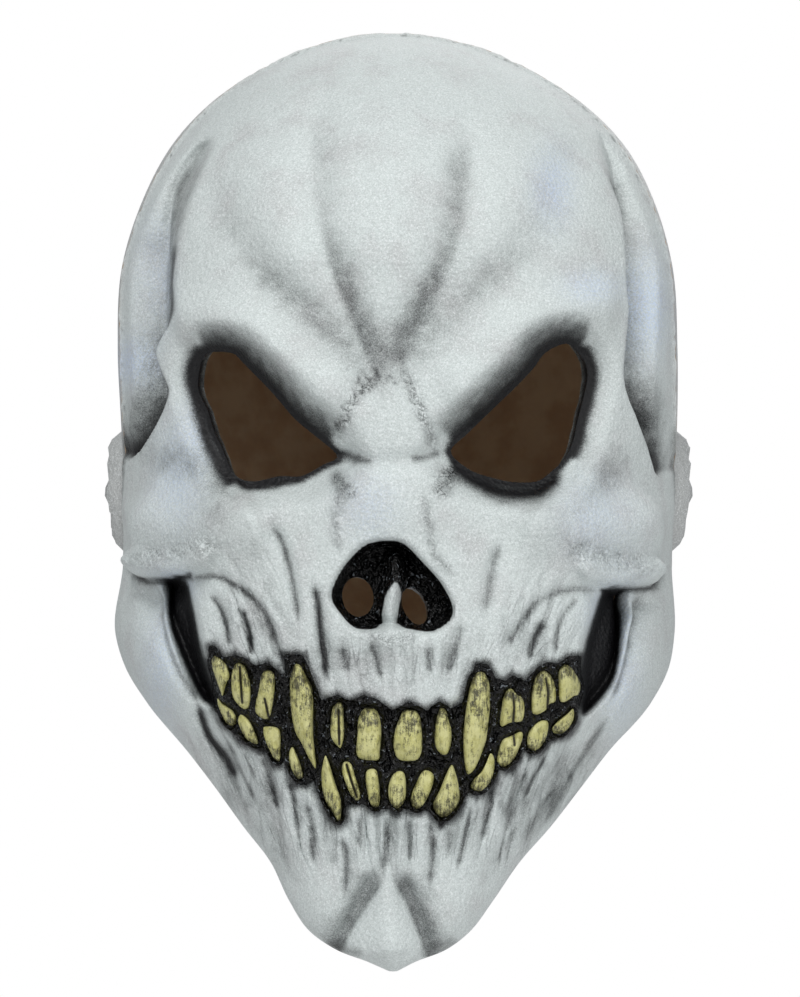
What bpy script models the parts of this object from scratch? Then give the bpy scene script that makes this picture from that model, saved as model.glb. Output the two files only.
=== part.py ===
"""Full-head latex skull mask: a front skin, a rear cap with ears, and twenty-six raised teeth.

World units are metres, +Z up, the face looks along -Y and +X is on a viewer's right. The origin is
the crown seat, the highest point inside the cap. Tables are in millimetres. Their heights
count from the eye line. Places on the face are given as they show from straight ahead, measured on
the plane of the eyes.
"""

import math

import bmesh
import bpy
import numpy as np
from mathutils import Matrix, Vector
from mathutils.bvhtree import BVHTree

MM = 0.001

# Driving sizes, millimetres
WALL = 2.4
SEAM_GAP = 0.3
TOOTH_GAP = 0.4
CROWN_HEIGHT = 107.0
EYE_LINE_Z = WALL - CROWN_HEIGHT

# The straight-ahead view in which places on the face are given
VIEW_DISTANCE = 950.0
VIEW_HEIGHT = -20.75
EYE_PLANE_Y = -95.0

# How finely the skin is lofted, and the share of its faces that is kept
COLUMNS = 150
ROWS = 96
FRONT_COLUMN_SHARE = 0.72
KEPT_SHARE = 0.150

# Level sections of the skin, crown to chin. Beyond the jaw the rear half is trimmed away.
# height, left half width, right half width, front y, side y, rear y, front power, rear power
SECTIONS = (
    (107.0, 1.5, 1.5, 3.0, 5.0, 7.0, 2.0, 2.0),
    (105.8, 13.0, 13.0, -9.0, 5.0, 22.0, 2.0, 2.0),
    (102.5, 24.0, 24.0, -24.0, 5.0, 38.0, 2.0, 2.0),
    (95.6, 38.5, 39.0, -44.0, 5.0, 58.0, 2.0, 2.0),
    (87.3, 50.5, 52.0, -59.0, 5.0, 72.0, 2.05, 2.0),
    (75.0, 61.5, 64.0, -74.0, 5.0, 84.0, 2.1, 2.0),
    (60.0, 69.0, 71.5, -86.0, 4.0, 93.0, 2.2, 2.0),
    (42.0, 74.3, 76.3, -93.0, 3.0, 98.0, 2.3, 2.0),
    (20.0, 75.3, 77.5, -96.0, 2.0, 100.0, 2.35, 2.0),
    (0.0, 74.3, 77.3, -97.0, 0.0, 97.0, 2.35, 2.0),
    (-20.0, 73.5, 76.3, -99.0, -3.0, 89.0, 2.3, 2.0),
    (-40.0, 73.5, 75.5, -102.0, -8.0, 77.0, 2.2, 2.0),
    (-57.0, 75.0, 75.8, -105.0, -15.0, 64.0, 2.1, 2.0),
    (-66.0, 72.0, 74.0, -106.0, -20.0, 56.0, 2.05, 2.0),
    (-75.0, 66.0, 69.0, -106.0, -26.0, 46.0, 2.0, 2.0),
    (-88.0, 54.0, 56.5, -105.0, -38.0, 30.0, 2.0, 2.0),
    (-96.5, 46.5, 49.0, -103.5, -48.0, 16.0, 2.05, 2.0),
    (-105.5, 39.0, 41.0, -102.0, -58.0, 0.0, 2.15, 2.0),
    (-114.0, 31.5, 32.5, -101.0, -68.0, -14.0, 2.25, 2.0),
    (-123.0, 26.5, 25.5, -101.0, -77.0, -30.0, 2.3, 2.0),
    (-130.0, 21.3, 19.7, -101.5, -83.0, -46.0, 2.3, 2.0),
    (-134.0, 15.0, 14.0, -101.5, -87.0, -60.0, 2.2, 2.0),
    (-136.8, 6.8, 6.0, -100.5, -91.0, -76.0, 2.0, 2.0),
    (-138.8, 1.2, 1.2, -98.0, -96.0, -94.0, 2.0, 2.0),
)

# Lower edge of the skin seen from the side: y, height
RIM = (
    (-120.0, -146.0),
    (-97.0, -141.0),
    (-88.0, -134.0),
    (-78.0, -124.0),
    (-62.0, -110.0),
    (-46.0, -97.0),
    (-30.0, -87.0),
    (-10.0, -78.0),
    (15.0, -72.0),
    (50.0, -69.0),
    (120.0, -68.0),
)

# Seam between the front skin and the rear cap seen from the side: height, y
SEAM = (
    (-150.0, 12.0),
    (-80.0, 8.0),
    (-50.0, 2.0),
    (-30.0, -14.0),
    (-10.0, -30.0),
    (10.0, -34.0),
    (40.0, -31.0),
    (66.0, -29.0),
    (87.0, -24.0),
    (104.0, -17.0),
    (120.0, -15.0),
)

# Outlines cut or sunk in the face: across, height
EYE_LEFT = (
    (-46.8, 15.2), (-40.5, 15.5), (-37.5, 13.0), (-30.0, 5.3), (-24.8, -0.8), (-19.8, -5.0),
    (-13.8, -10.3), (-17.3, -12.3), (-22.8, -15.3), (-28.3, -15.3), (-34.5, -16.6), (-38.5, -15.8),
    (-40.8, -13.0), (-42.8, -8.0), (-44.8, -4.0), (-46.3, 1.0), (-48.6, 6.0), (-48.6, 10.0),
)
EYE_RIGHT = (
    (42.8, 17.8), (45.3, 16.6), (47.8, 13.5), (48.6, 10.0), (48.0, 6.0), (46.0, -1.8),
    (45.0, -6.5), (42.8, -11.0), (39.5, -14.2), (36.0, -16.6), (30.0, -16.8), (23.3, -15.3),
    (18.8, -13.5), (14.3, -9.2), (18.3, -5.0), (25.3, 1.8), (30.5, 6.8), (35.0, 11.5),
    (38.0, 15.5),
)
NASAL_CAVITY = (
    (-6.3, -32.3), (-1.5, -31.5), (2.8, -32.3), (8.0, -37.5), (11.8, -41.8), (14.8, -47.5),
    (14.2, -51.3), (10.0, -54.0), (6.0, -53.8), (0.0, -53.0), (-5.0, -53.6), (-9.5, -53.2),
    (-12.8, -50.0), (-15.4, -45.5), (-13.5, -40.0), (-10.0, -35.3),
)
CHEEK_HOLLOW_LEFT = (
    (-58.5, -41.5), (-51.8, -41.0), (-49.8, -47.5), (-47.3, -59.8), (-43.8, -72.0), (-47.8, -71.5),
    (-50.8, -66.0), (-54.5, -57.5), (-58.0, -48.5),
)
CHEEK_HOLLOW_RIGHT = (
    (52.0, -44.5), (55.5, -43.5), (59.5, -44.0), (60.0, -49.0), (58.0, -59.8), (54.5, -68.0),
    (48.3, -75.0), (46.6, -72.5), (47.3, -59.8), (50.3, -48.5),
)
TEMPLE_LEFT = (
    (-45.5, 67.3), (-50.5, 56.5), (-54.8, 41.0), (-55.3, 25.8), (-59.8, 17.8), (-60.0, 12.5),
    (-56.8, 6.0), (-59.8, -1.5), (-65.5, -9.5), (-64.0, 5.0), (-65.0, 24.0), (-64.3, 39.0),
    (-60.8, 47.0), (-56.0, 58.5), (-49.3, 67.3),
)
TEMPLE_RIGHT = (
    (54.0, 58.8), (58.0, 50.3), (59.0, 37.5), (59.6, 26.0), (58.3, 10.0), (60.8, 2.0),
    (64.0, -6.0), (66.0, -9.0), (64.5, 5.0), (65.0, 18.0), (65.5, 35.0), (62.8, 47.0),
    (57.0, 62.0), (51.5, 70.0),
)
MOUTH_BAND = (
    (-46.3, -58.0), (-38.0, -61.5), (-30.5, -62.5), (-25.0, -59.5), (-21.5, -60.5), (-18.5, -69.0),
    (-11.0, -71.5), (0.0, -73.0), (11.0, -72.5), (17.0, -70.0), (20.0, -62.0), (24.0, -62.0),
    (28.0, -66.0), (37.0, -63.0), (47.3, -60.5), (47.3, -70.5), (44.0, -79.0), (37.5, -82.5),
    (29.0, -87.5), (19.5, -94.5), (13.0, -101.5), (8.0, -99.3), (-8.0, -98.5), (-13.5, -101.5),
    (-18.5, -96.5), (-24.0, -92.5), (-33.5, -84.0), (-42.0, -78.0), (-46.3, -71.0),
)

# Through holes inside the nasal cavity: across, height, half width, half height, lean in degrees
NOSTRILS = (
    (-8.8, -45.5, 3.9, 5.0, 8.0),
    (5.4, -47.8, 2.9, 4.9, 22.0),
)

# Long grooves and ridges: half width, rise, then points of across and height
FOLDS = (
    # forehead grooves
    (5.0, -2.2, ((-16.8, 83.5), (-19.5, 70.0), (-19.3, 52.0), (-15.8, 37.5), (-6.3, 17.5))),
    (5.0, -2.2, ((18.5, 78.0), (17.8, 62.5), (16.3, 46.0), (9.0, 30.0), (0.5, 14.5))),
    (5.5, -2.2, ((-44.5, 60.5), (-41.8, 49.0), (-27.3, 31.8), (-8.3, 17.5))),
    (5.5, -2.2, ((44.5, 70.0), (42.5, 56.8), (27.3, 36.5), (10.0, 24.3))),
    # swells between the forehead grooves
    (8.0, 1.4, ((-1.0, 88.0), (-1.0, 60.0), (-2.0, 32.0))),
    (8.0, 1.4, ((-36.0, 72.0), (-31.0, 52.0), (-19.0, 34.0))),
    (8.0, 1.4, ((34.0, 72.0), (30.0, 54.0), (18.0, 38.0))),
    # brow ridges
    (6.5, 5.0, ((-57.0, 24.0), (-50.0, 24.5), (-36.0, 20.0), (-21.0, 9.0), (-9.5, 0.5))),
    (6.5, 5.0, ((58.5, 27.0), (50.0, 27.0), (36.0, 21.5), (22.5, 10.0), (10.0, 0.0))),
    # bridge crease
    (2.4, -2.2, ((-13.5, -9.5), (-5.0, -11.7), (4.0, -11.5), (10.0, -9.5))),
    # cheekbones
    (9.0, 6.5, ((-66.0, -24.0), (-54.0, -27.0), (-42.0, -27.5), (-31.0, -24.0))),
    (9.0, 6.5, ((67.0, -24.0), (55.0, -28.0), (43.0, -28.5), (31.0, -24.0))),
    # cheekbone lower edges
    (3.4, 4.0, ((-66.0, -36.5), (-56.0, -37.5), (-44.0, -33.5))),
    (3.4, 4.0, ((66.0, -38.0), (57.0, -40.0), (45.0, -37.5))),
    (3.4, -3.0, ((-66.0, -44.5), (-56.0, -44.0), (-47.0, -41.0))),
    (3.4, -3.0, ((66.0, -46.0), (57.0, -46.5), (48.0, -44.0))),
    # grooves between the cheeks and the jaw panels
    (3.0, -3.2, ((-62.0, -42.5), (-58.5, -53.0), (-49.3, -70.0), (-42.8, -85.3), (-35.0, -98.0))),
    (3.0, -3.2, ((64.5, -45.0), (60.0, -60.3), (50.3, -77.3), (40.0, -91.0), (34.0, -99.0))),
    # cheek folds beside the nose and mouth
    (2.8, -1.8, ((-31.0, -27.5), (-26.8, -34.8), (-24.3, -46.5), (-23.8, -52.0))),
    (2.8, -1.8, ((27.0, -30.0), (25.3, -37.5), (23.5, -45.0))),
    (2.8, -2.0, ((-44.0, -39.5), (-37.5, -41.0), (-32.0, -48.0), (-29.0, -58.0))),
    (2.8, -2.0, ((46.0, -43.5), (37.0, -46.0), (32.0, -52.0), (29.5, -59.0))),
    (2.6, -1.4, ((-46.0, -45.0), (-43.0, -50.0), (-41.8, -58.0))),
    (2.6, -1.4, ((46.5, -47.0), (42.0, -53.0), (41.0, -59.5))),
    (2.6, -1.6, ((-20.0, -43.0), (-18.0, -52.0), (-17.0, -62.0))),
    (2.6, -1.4, ((17.5, -58.0), (16.0, -64.0), (14.0, -70.0))),
    # folds below the mouth
    (2.4, -1.6, ((-32.5, -85.5), (-30.0, -96.0))),
    (2.4, -1.6, ((-24.0, -94.5), (-20.5, -106.0))),
    (2.4, -1.8, ((-13.5, -104.0), (-12.0, -117.0))),
    (2.4, -1.4, ((-2.0, -101.0), (-3.0, -110.0))),
    (2.4, -1.8, ((11.0, -103.0), (9.0, -115.0))),
    (2.4, -1.6, ((21.0, -96.0), (17.0, -108.0))),
    (2.4, -1.6, ((30.5, -90.0), (27.0, -101.0))),
    # chin grooves and centre bulb
    (2.6, -2.8, ((-4.5, -116.0), (-9.5, -124.0), (-12.5, -134.0))),
    (2.6, -2.8, ((1.8, -116.0), (6.0, -124.0), (8.0, -134.0))),
    (4.0, 2.6, ((-1.5, -118.0), (-1.2, -127.0), (-0.6, -137.0))),
)

# Broad swells: across, height, half width, half height, rise
SWELLS = (
    (-1.0, -2.0, 12.0, 11.0, 3.2),
    (-1.0, -22.0, 14.0, 11.0, 4.0),
    (-0.8, -57.5, 5.0, 3.5, 2.0),
    (-46.0, -6.0, 10.0, 14.0, 1.5),
    (-18.0, -124.0, 6.5, 8.0, 1.8),
    (14.5, -125.0, 6.5, 8.0, 1.8),
    (-36.0, -50.0, 9.0, 12.0, 1.5),
    (36.0, -52.0, 9.0, 12.0, 1.5),
)

# Sunk areas: outline, depth, width of the wall
HOLLOWS = (
    (NASAL_CAVITY, 9.5, 3.2),
    (CHEEK_HOLLOW_LEFT, 13.0, 4.0),
    (CHEEK_HOLLOW_RIGHT, 13.0, 4.0),
    (TEMPLE_LEFT, 7.5, 4.0),
    (TEMPLE_RIGHT, 7.5, 4.0),
    (MOUTH_BAND, 2.2, 2.2),
)
SEPTUM = (2.6, 7.0, ((0.0, -33.0), (0.8, -40.0), (-0.4, -46.0), (-0.8, -54.0)))
SOCKET_DEPTH = 7.5
SOCKET_REACH = 9.0

# Ears on the rear cap, seen from the side: y, height, half width, half height, lean
EAR_Y = 2.0
EAR_HEIGHT = -19.0
EAR_HALF_WIDTH = 13.0
EAR_HALF_HEIGHT = 16.5
EAR_LEAN = 14.0
EAR_RISE = 5.4
EAR_EDGE = 1.15
EAR_EDGE_BLEND = 0.6
EAR_REACH = 0.8
EAR_REACH_BLEND = 0.1

# The cup of the ear, as shares of the ear
EAR_CUP_DEPTH = 4.0
CUP_ACROSS = 0.12
CUP_LEVEL = 0.05
CUP_HALF_WIDTH = 0.5
CUP_HALF_HEIGHT = 0.62
CUP_BLEND = 0.7

# Teeth: across, height, width, length, lean in degrees, how pointed, how proud
UPPER_TEETH = (
    (-43.6, -65.2, 4.6, 9.8, -4.0, 0.5, 3.0),
    (-38.0, -67.8, 4.9, 11.5, -3.0, 0.3, 3.2),
    (-31.8, -69.8, 5.0, 12.5, -6.0, 0.3, 3.4),
    (-22.6, -75.0, 6.6, 26.0, 5.0, 0.8, 5.0),
    (-13.7, -77.4, 3.6, 11.4, -2.0, 0.2, 3.2),
    (-6.0, -79.5, 6.1, 13.2, -1.0, 0.1, 3.8),
    (3.8, -80.0, 6.8, 13.0, 0.0, 0.1, 3.8),
    (12.5, -79.0, 4.1, 12.0, 2.0, 0.2, 3.4),
    (21.0, -76.8, 6.8, 26.0, -6.0, 0.8, 5.0),
    (29.7, -73.0, 6.2, 8.9, -4.0, 0.2, 3.2),
    (37.5, -69.0, 6.0, 10.5, -5.0, 0.2, 3.2),
    (44.0, -67.0, 5.2, 9.6, -8.0, 0.3, 3.0),
)
LOWER_TEETH = (
    (-41.5, -74.6, 4.2, 7.0, -16.0, 0.2, 2.6),
    (-36.2, -78.8, 4.6, 8.4, -20.0, 0.2, 2.8),
    (-30.3, -81.8, 4.2, 8.4, -8.0, 0.2, 2.8),
    (-24.3, -87.2, 3.2, 8.2, -18.0, 0.2, 2.8),
    (-15.3, -93.4, 4.4, 16.4, -12.0, 0.8, 4.0),
    (-10.2, -91.0, 3.3, 9.8, -14.0, 0.2, 3.0),
    (-5.0, -93.2, 3.5, 9.4, -3.0, 0.2, 3.2),
    (1.3, -93.5, 4.0, 9.4, 2.0, 0.2, 3.2),
    (7.0, -93.4, 4.1, 9.8, 12.0, 0.2, 3.2),
    (13.3, -93.8, 5.6, 13.6, 12.0, 0.8, 4.0),
    (23.6, -89.2, 3.8, 9.4, 30.0, 0.3, 3.0),
    (29.2, -83.8, 5.3, 8.8, 22.0, 0.2, 3.0),
    (36.4, -80.4, 4.6, 7.8, 24.0, 0.2, 2.8),
    (42.8, -76.2, 3.6, 7.4, 38.0, 0.2, 2.6),
)

# Form of a tooth: how fast it narrows towards the tip, how square it is, the share of its bulge that
# narrows with it, and how far its back bulges as a share of its front
TOOTH_TAPER = 1.3
TOOTH_SQUARENESS = 0.2
BULGE_TAPER = 0.45
BACK_FULLNESS = 0.12
TOOTH_SEGMENTS = 10
TOOTH_RINGS = 6
TOOTH_START = 30.0

# Soft ends of folds, as a share of their length, and the height that is left at the very end
FOLD_FADE = 0.22
FOLD_END = 0.25

# Share of a hollow's wall that lies outside its outline
HOLLOW_START = 0.35

# Forms are raised straight ahead on the face and squarely off the skin at its sides. The change
# starts at this share of the half width and takes this much more of it.
HALF_WIDTH = 76.0
SIDE_START = 0.72
SIDE_BLEND = 0.2

# Forms fade out where the skin turns away, and this far in front of the ears
FACING_START = 0.05
FACING_BLEND = 0.3
FACE_END_Y = -8.0
FACE_BLEND = 12.0

# A trimmed sheet takes a corner along where the trim passes this near it, as a share of the edge
SNAP_SHARE = 0.3

# The seam cutters
SEAM_POINTS = 28
BLOCK_REACH = 160.0

COLLECTION = "skull_mask"


def clear_scene():
    """Remove every object so that the script starts from nothing."""
    for item in list(bpy.data.objects):
        bpy.data.objects.remove(item, do_unlink=True)


def new_collection(name):
    """Make a collection under the scene's own."""
    group = bpy.data.collections.new(name)
    bpy.context.scene.collection.children.link(group)
    return group


def painted(name, colour, roughness):
    """Make a plain Principled material."""
    material = bpy.data.materials.new(name)
    material.use_nodes = True
    shader = material.node_tree.nodes["Principled BSDF"]
    shader.inputs["Base Color"].default_value = (*colour, 1.0)
    shader.inputs["Roughness"].default_value = roughness
    shader.inputs["Metallic"].default_value = 0.0
    return material


def smoothstep(value):
    """Ease from 0 to 1 with level ends."""
    t = np.clip(value, 0.0, 1.0)
    return t * t * (3.0 - 2.0 * t)


def through(stations, values, at):
    """Pass a smooth curve through rows of values given at rising stations."""
    stations = np.asarray(stations, float)
    values = np.asarray(values, float)
    steps = np.diff(stations)
    slopes = np.diff(values, axis=0) / steps[:, None]
    tangents = np.empty_like(values)
    tangents[0] = slopes[0]
    tangents[-1] = slopes[-1]
    share = (steps[1:] / (steps[1:] + steps[:-1]))[:, None]
    tangents[1:-1] = slopes[:-1] * share + slopes[1:] * (1.0 - share)
    cell = np.clip(np.searchsorted(stations, at, side="right") - 1, 0, len(steps) - 1)
    width = steps[cell][:, None]
    t = ((at - stations[cell])[:, None]) / width
    start, end = values[cell], values[cell + 1]
    leave, arrive = tangents[cell] * width, tangents[cell + 1] * width
    return (
        (2 * t**3 - 3 * t**2 + 1) * start
        + (t**3 - 2 * t**2 + t) * leave
        + (3 * t**2 - 2 * t**3) * end
        + (t**3 - t**2) * arrive
    )


def smooth_line(points, per_span=6):
    """Round a short row of points into a flowing line."""
    points = np.asarray(points, float)
    stations = np.arange(len(points), dtype=float)
    return through(stations, points, np.linspace(0.0, len(points) - 1.0, per_span * (len(points) - 1) + 1))


def line_distance(across, height, line):
    """Distance from each place to a line, and how far along the line, 0 to 1, the nearest spot is."""
    nearest = np.full(across.shape, np.inf)
    along = np.zeros(across.shape)
    spans = len(line) - 1
    for index in range(spans):
        start, end = line[index], line[index + 1]
        run = end - start
        t = ((across - start[0]) * run[0] + (height - start[1]) * run[1]) / max(run @ run, 1e-9)
        t = np.clip(t, 0.0, 1.0)
        gap = np.hypot(across - start[0] - t * run[0], height - start[1] - t * run[1])
        closer = gap < nearest
        nearest = np.where(closer, gap, nearest)
        along = np.where(closer, (index + t) / spans, along)
    return nearest, along


def inside_distance(across, height, outline):
    """Signed distance to a closed outline, positive inside it."""
    ring = np.asarray(tuple(outline) + (outline[0],), float)
    nearest, _ = line_distance(across, height, ring)
    inside = np.zeros(across.shape, bool)
    for start, end in zip(ring[:-1], ring[1:]):
        crosses = (start[1] > height) != (end[1] > height)
        drop = end[1] - start[1]
        reach = start[0] + (height - start[1]) * (end[0] - start[0]) / (drop if drop else 1.0)
        inside ^= crosses & (across < reach)
    return np.where(inside, nearest, -nearest)


def fold_height(across, height, half_width, rise, points):
    """A soft ridge or groove that fades out at both ends."""
    gap, along = line_distance(across, height, smooth_line(points))
    ends = smoothstep(np.minimum(along, 1.0 - along) / FOLD_FADE)
    return rise * (FOLD_END + (1.0 - FOLD_END) * ends) * np.exp(-((gap / half_width) ** 2))


def in_view(points):
    """Where points of the skin show from straight ahead, on the plane of the eyes."""
    scale = VIEW_DISTANCE / (VIEW_DISTANCE + points[..., 1] - EYE_PLANE_Y)
    return points[..., 0] * scale, (points[..., 2] - VIEW_HEIGHT) * scale + VIEW_HEIGHT


def socket_distance(across, height):
    """Distance outside the nearer eye hole, zero within it."""
    gap = np.maximum(inside_distance(across, height, EYE_LEFT), inside_distance(across, height, EYE_RIGHT))
    return np.maximum(-gap, 0.0)


def face_relief(across, height):
    """How far the face stands proud of its plain sections."""
    rise = np.zeros(across.shape)
    for half_width, lift, points in FOLDS:
        rise += fold_height(across, height, half_width, lift, points)
    for centre, level, half_width, half_height, lift in SWELLS:
        reach = ((across - centre) / half_width) ** 2 + ((height - level) / half_height) ** 2
        rise += lift * np.exp(-reach)
    for outline, depth, wall in HOLLOWS:
        rise -= depth * smoothstep(inside_distance(across, height, outline) / wall + HOLLOW_START)
    rise += fold_height(across, height, *SEPTUM)
    rise -= SOCKET_DEPTH * (1.0 - smoothstep(socket_distance(across, height) / SOCKET_REACH))
    return rise


def ear_relief(along, height):
    """How far an ear stands out of the side of the cap."""
    lean = math.radians(EAR_LEAN)
    forward, up = along - EAR_Y, height - EAR_HEIGHT
    across = (forward * math.cos(lean) - up * math.sin(lean)) / EAR_HALF_WIDTH
    level = (forward * math.sin(lean) + up * math.cos(lean)) / EAR_HALF_HEIGHT
    reach = np.hypot(across, level)
    body = EAR_RISE * smoothstep((EAR_EDGE - reach) / EAR_EDGE_BLEND)
    cup = np.hypot((across - CUP_ACROSS) / CUP_HALF_WIDTH, (level - CUP_LEVEL) / CUP_HALF_HEIGHT)
    return body - EAR_CUP_DEPTH * smoothstep((1.0 - cup) / CUP_BLEND)


def plain_skin():
    """Rows of points on the plain sections, crown to chin, each row a closed ring."""
    table = np.asarray(SECTIONS, float)
    profile = np.column_stack((table[:, 0], 0.5 * (table[:, 1] + table[:, 2]), table[:, 3] * 0.5))
    stations = np.concatenate(([0.0], np.cumsum(np.linalg.norm(np.diff(profile, axis=0), axis=1))))
    rows = through(stations, table, np.linspace(0.0, stations[-1], ROWS))
    front = int(COLUMNS * FRONT_COLUMN_SHARE)
    angles = np.concatenate((
        np.linspace(-0.5 * math.pi, 0.5 * math.pi, front, endpoint=False),
        np.linspace(0.5 * math.pi, 1.5 * math.pi, COLUMNS - front, endpoint=False),
    ))
    sine, cosine = np.sin(angles)[None, :], np.cos(angles)[None, :]
    height, left, right, front_y, side_y, rear_y, front_power, rear_power = (
        column[:, None] for column in rows.T
    )
    power = np.where(cosine >= 0.0, front_power, rear_power)
    half = np.where(sine >= 0.0, right, left)
    x = half * np.sign(sine) * np.abs(sine) ** (2.0 / power)
    depth = np.where(cosine >= 0.0, front_y - side_y, rear_y - side_y)
    y = side_y + depth * np.abs(cosine) ** (2.0 / power)
    return np.stack((x, y, np.broadcast_to(height, x.shape)), axis=-1)


def outward(points):
    """Outward direction at each point of the rows."""
    around = np.roll(points, -1, axis=1) - np.roll(points, 1, axis=1)
    down = np.gradient(points, axis=0)
    normal = np.cross(down, around)
    return normal / np.maximum(np.linalg.norm(normal, axis=-1, keepdims=True), 1e-9)


def modelled_skin():
    """The plain skin with its face and ears raised and sunk."""
    points = plain_skin()
    normal = outward(points)
    across, height = in_view(points)
    reach = np.abs(points[..., 0]) / HALF_WIDTH
    sideways = smoothstep((reach - SIDE_START) / SIDE_BLEND)[..., None]
    forward = np.array((0.0, -1.0, 0.0))
    direction = forward * (1.0 - sideways) + normal * sideways
    direction /= np.linalg.norm(direction, axis=-1, keepdims=True)
    facing = smoothstep((FACING_START - normal[..., 1]) / FACING_BLEND)
    facing = facing * smoothstep((FACE_END_Y - points[..., 1]) / FACE_BLEND)
    rise = face_relief(across, height) * facing
    ears = ear_relief(points[..., 1], points[..., 2]) * smoothstep((reach - EAR_REACH) / EAR_REACH_BLEND)
    return points + direction * rise[..., None] + normal * ears[..., None]


def skin_mesh():
    """Join the rows into one open sheet with a closed crown."""
    points = modelled_skin()
    rows, columns = points.shape[:2]
    sheet = bmesh.new()
    grid = [[sheet.verts.new(point) for point in row] for row in points]
    crown = sheet.verts.new(points[0].mean(axis=0))
    for column in range(columns):
        beside = (column + 1) % columns
        sheet.faces.new((crown, grid[0][column], grid[0][beside]))
        for row in range(rows - 1):
            corner = (grid[row][column], grid[row + 1][column], grid[row + 1][beside], grid[row][beside])
            sheet.faces.new(corner)
    sheet.normal_update()
    return sheet


def cut_away(sheet, field):
    """Trim the sheet exactly along the line where the field crosses zero, dropping its positive side."""
    sheet.verts.index_update()
    levels = field(np.array([vertex.co for vertex in sheet.verts]))
    on_line = set()
    for edge in sheet.edges:
        first, second = edge.verts
        a, b = levels[first.index], levels[second.index]
        if a * b >= 0.0:
            continue
        share = a / (a - b)
        if share < SNAP_SHARE and first not in on_line:
            first.co = first.co.lerp(second.co, share)
            levels[first.index] = 0.0
            on_line.add(first)
        elif share > 1.0 - SNAP_SHARE and second not in on_line:
            second.co = first.co.lerp(second.co, share)
            levels[second.index] = 0.0
            on_line.add(second)
    value = {vertex: levels[vertex.index] for vertex in sheet.verts}
    for edge in [item for item in sheet.edges if value[item.verts[0]] * value[item.verts[1]] < 0.0]:
        first, second = edge.verts
        share = value[first] / (value[first] - value[second])
        _, fresh = bmesh.utils.edge_split(edge, first, share)
        value[fresh] = 0.0
        on_line.add(fresh)
    bmesh.ops.connect_verts(sheet, verts=[vertex for vertex in on_line if vertex.is_valid])
    dropped = [face for face in sheet.faces if sum(value[vertex] for vertex in face.verts) > 0.0]
    bmesh.ops.delete(sheet, geom=dropped, context="FACES")


def outside_rim(places):
    """Positive below the lower edge of the skin."""
    edge = np.asarray(RIM, float)
    level = through(edge[:, 0], edge[:, 1:], places[:, 1])[:, 0]
    return level - places[:, 2]


def in_holes(places):
    """Positive inside an eye hole or a nostril."""
    across, height = in_view(places)
    level = np.maximum(inside_distance(across, height, EYE_LEFT), inside_distance(across, height, EYE_RIGHT))
    for centre, middle, half_width, half_height, lean in NOSTRILS:
        turn = math.radians(lean)
        right, up = across - centre, height - middle
        wide = (right * math.cos(turn) + up * math.sin(turn)) / half_width
        tall = (up * math.cos(turn) - right * math.sin(turn)) / half_height
        level = np.maximum(level, (1.0 - np.hypot(wide, tall)) * half_width)
    return np.where(places[:, 1] < 0.0, level, -1.0)


def thinned(sheet):
    """Spend fewer faces where the sheet is flat."""
    bmesh.ops.triangulate(sheet, faces=sheet.faces)
    mesh = bpy.data.meshes.new("sheet")
    sheet.to_mesh(mesh)
    sheet.free()
    holder = bpy.data.objects.new("sheet", mesh)
    bpy.context.scene.collection.objects.link(holder)
    fewer = holder.modifiers.new("fewer_faces", "DECIMATE")
    fewer.ratio = KEPT_SHARE
    graph = bpy.context.evaluated_depsgraph_get()
    result = bmesh.new()
    result.from_mesh(holder.evaluated_get(graph).to_mesh())
    holder.evaluated_get(graph).to_mesh_clear()
    bpy.data.objects.remove(holder, do_unlink=True)
    bpy.data.meshes.remove(mesh)
    return result


def to_world(bm):
    """Turn millimetres above the eye line into metres from the crown seat."""
    for vertex in bm.verts:
        vertex.co = Vector((vertex.co.x, vertex.co.y, vertex.co.z + EYE_LINE_Z)) * MM


def add_object(name, bm, group, material):
    """Finish a mesh as a smooth-shaded object of its own."""
    bmesh.ops.recalc_face_normals(bm, faces=bm.faces)
    mesh = bpy.data.meshes.new(name)
    bm.to_mesh(mesh)
    bm.free()
    if material:
        mesh.materials.append(material)
    mesh.shade_smooth()
    item = bpy.data.objects.new(name, mesh)
    group.objects.link(item)
    return item


def seam_block(name, side, group):
    """A cutter that fills everything on one side of the seam, front -1 or rear +1."""
    seam = np.asarray(SEAM, float)
    heights = np.linspace(seam[0, 0], seam[-1, 0], SEAM_POINTS)
    edge = through(seam[:, 0], seam[:, 1:], heights)[:, 0] - 0.5 * side * SEAM_GAP
    outline = [(y, z) for y, z in zip(edge, heights)]
    outline += [(side * BLOCK_REACH, heights[-1]), (side * BLOCK_REACH, heights[0])]
    block = bmesh.new()
    flat = block.faces.new([block.verts.new((-BLOCK_REACH, y, z)) for y, z in outline])
    swept = bmesh.ops.extrude_face_region(block, geom=[flat])
    moved = [item for item in swept["geom"] if isinstance(item, bmesh.types.BMVert)]
    bmesh.ops.translate(block, verts=moved, vec=(2.0 * BLOCK_REACH, 0.0, 0.0))
    to_world(block)
    item = add_object(name, block, group, None)
    item.hide_render = True
    item.display_type = "WIRE"
    return item


def build_skin(name, sheet, block, group, material):
    """One half of the skin: the sheet thickened inwards to the latex wall, then cut at the seam."""
    item = add_object(name, sheet.copy(), group, material)
    wall = item.modifiers.new("latex_wall", "SOLIDIFY")
    wall.thickness = WALL * MM
    wall.offset = -1.0
    seam = item.modifiers.new("seam", "BOOLEAN")
    seam.operation = "DIFFERENCE"
    seam.solver = "MANIFOLD"
    seam.object = block
    return item


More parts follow.
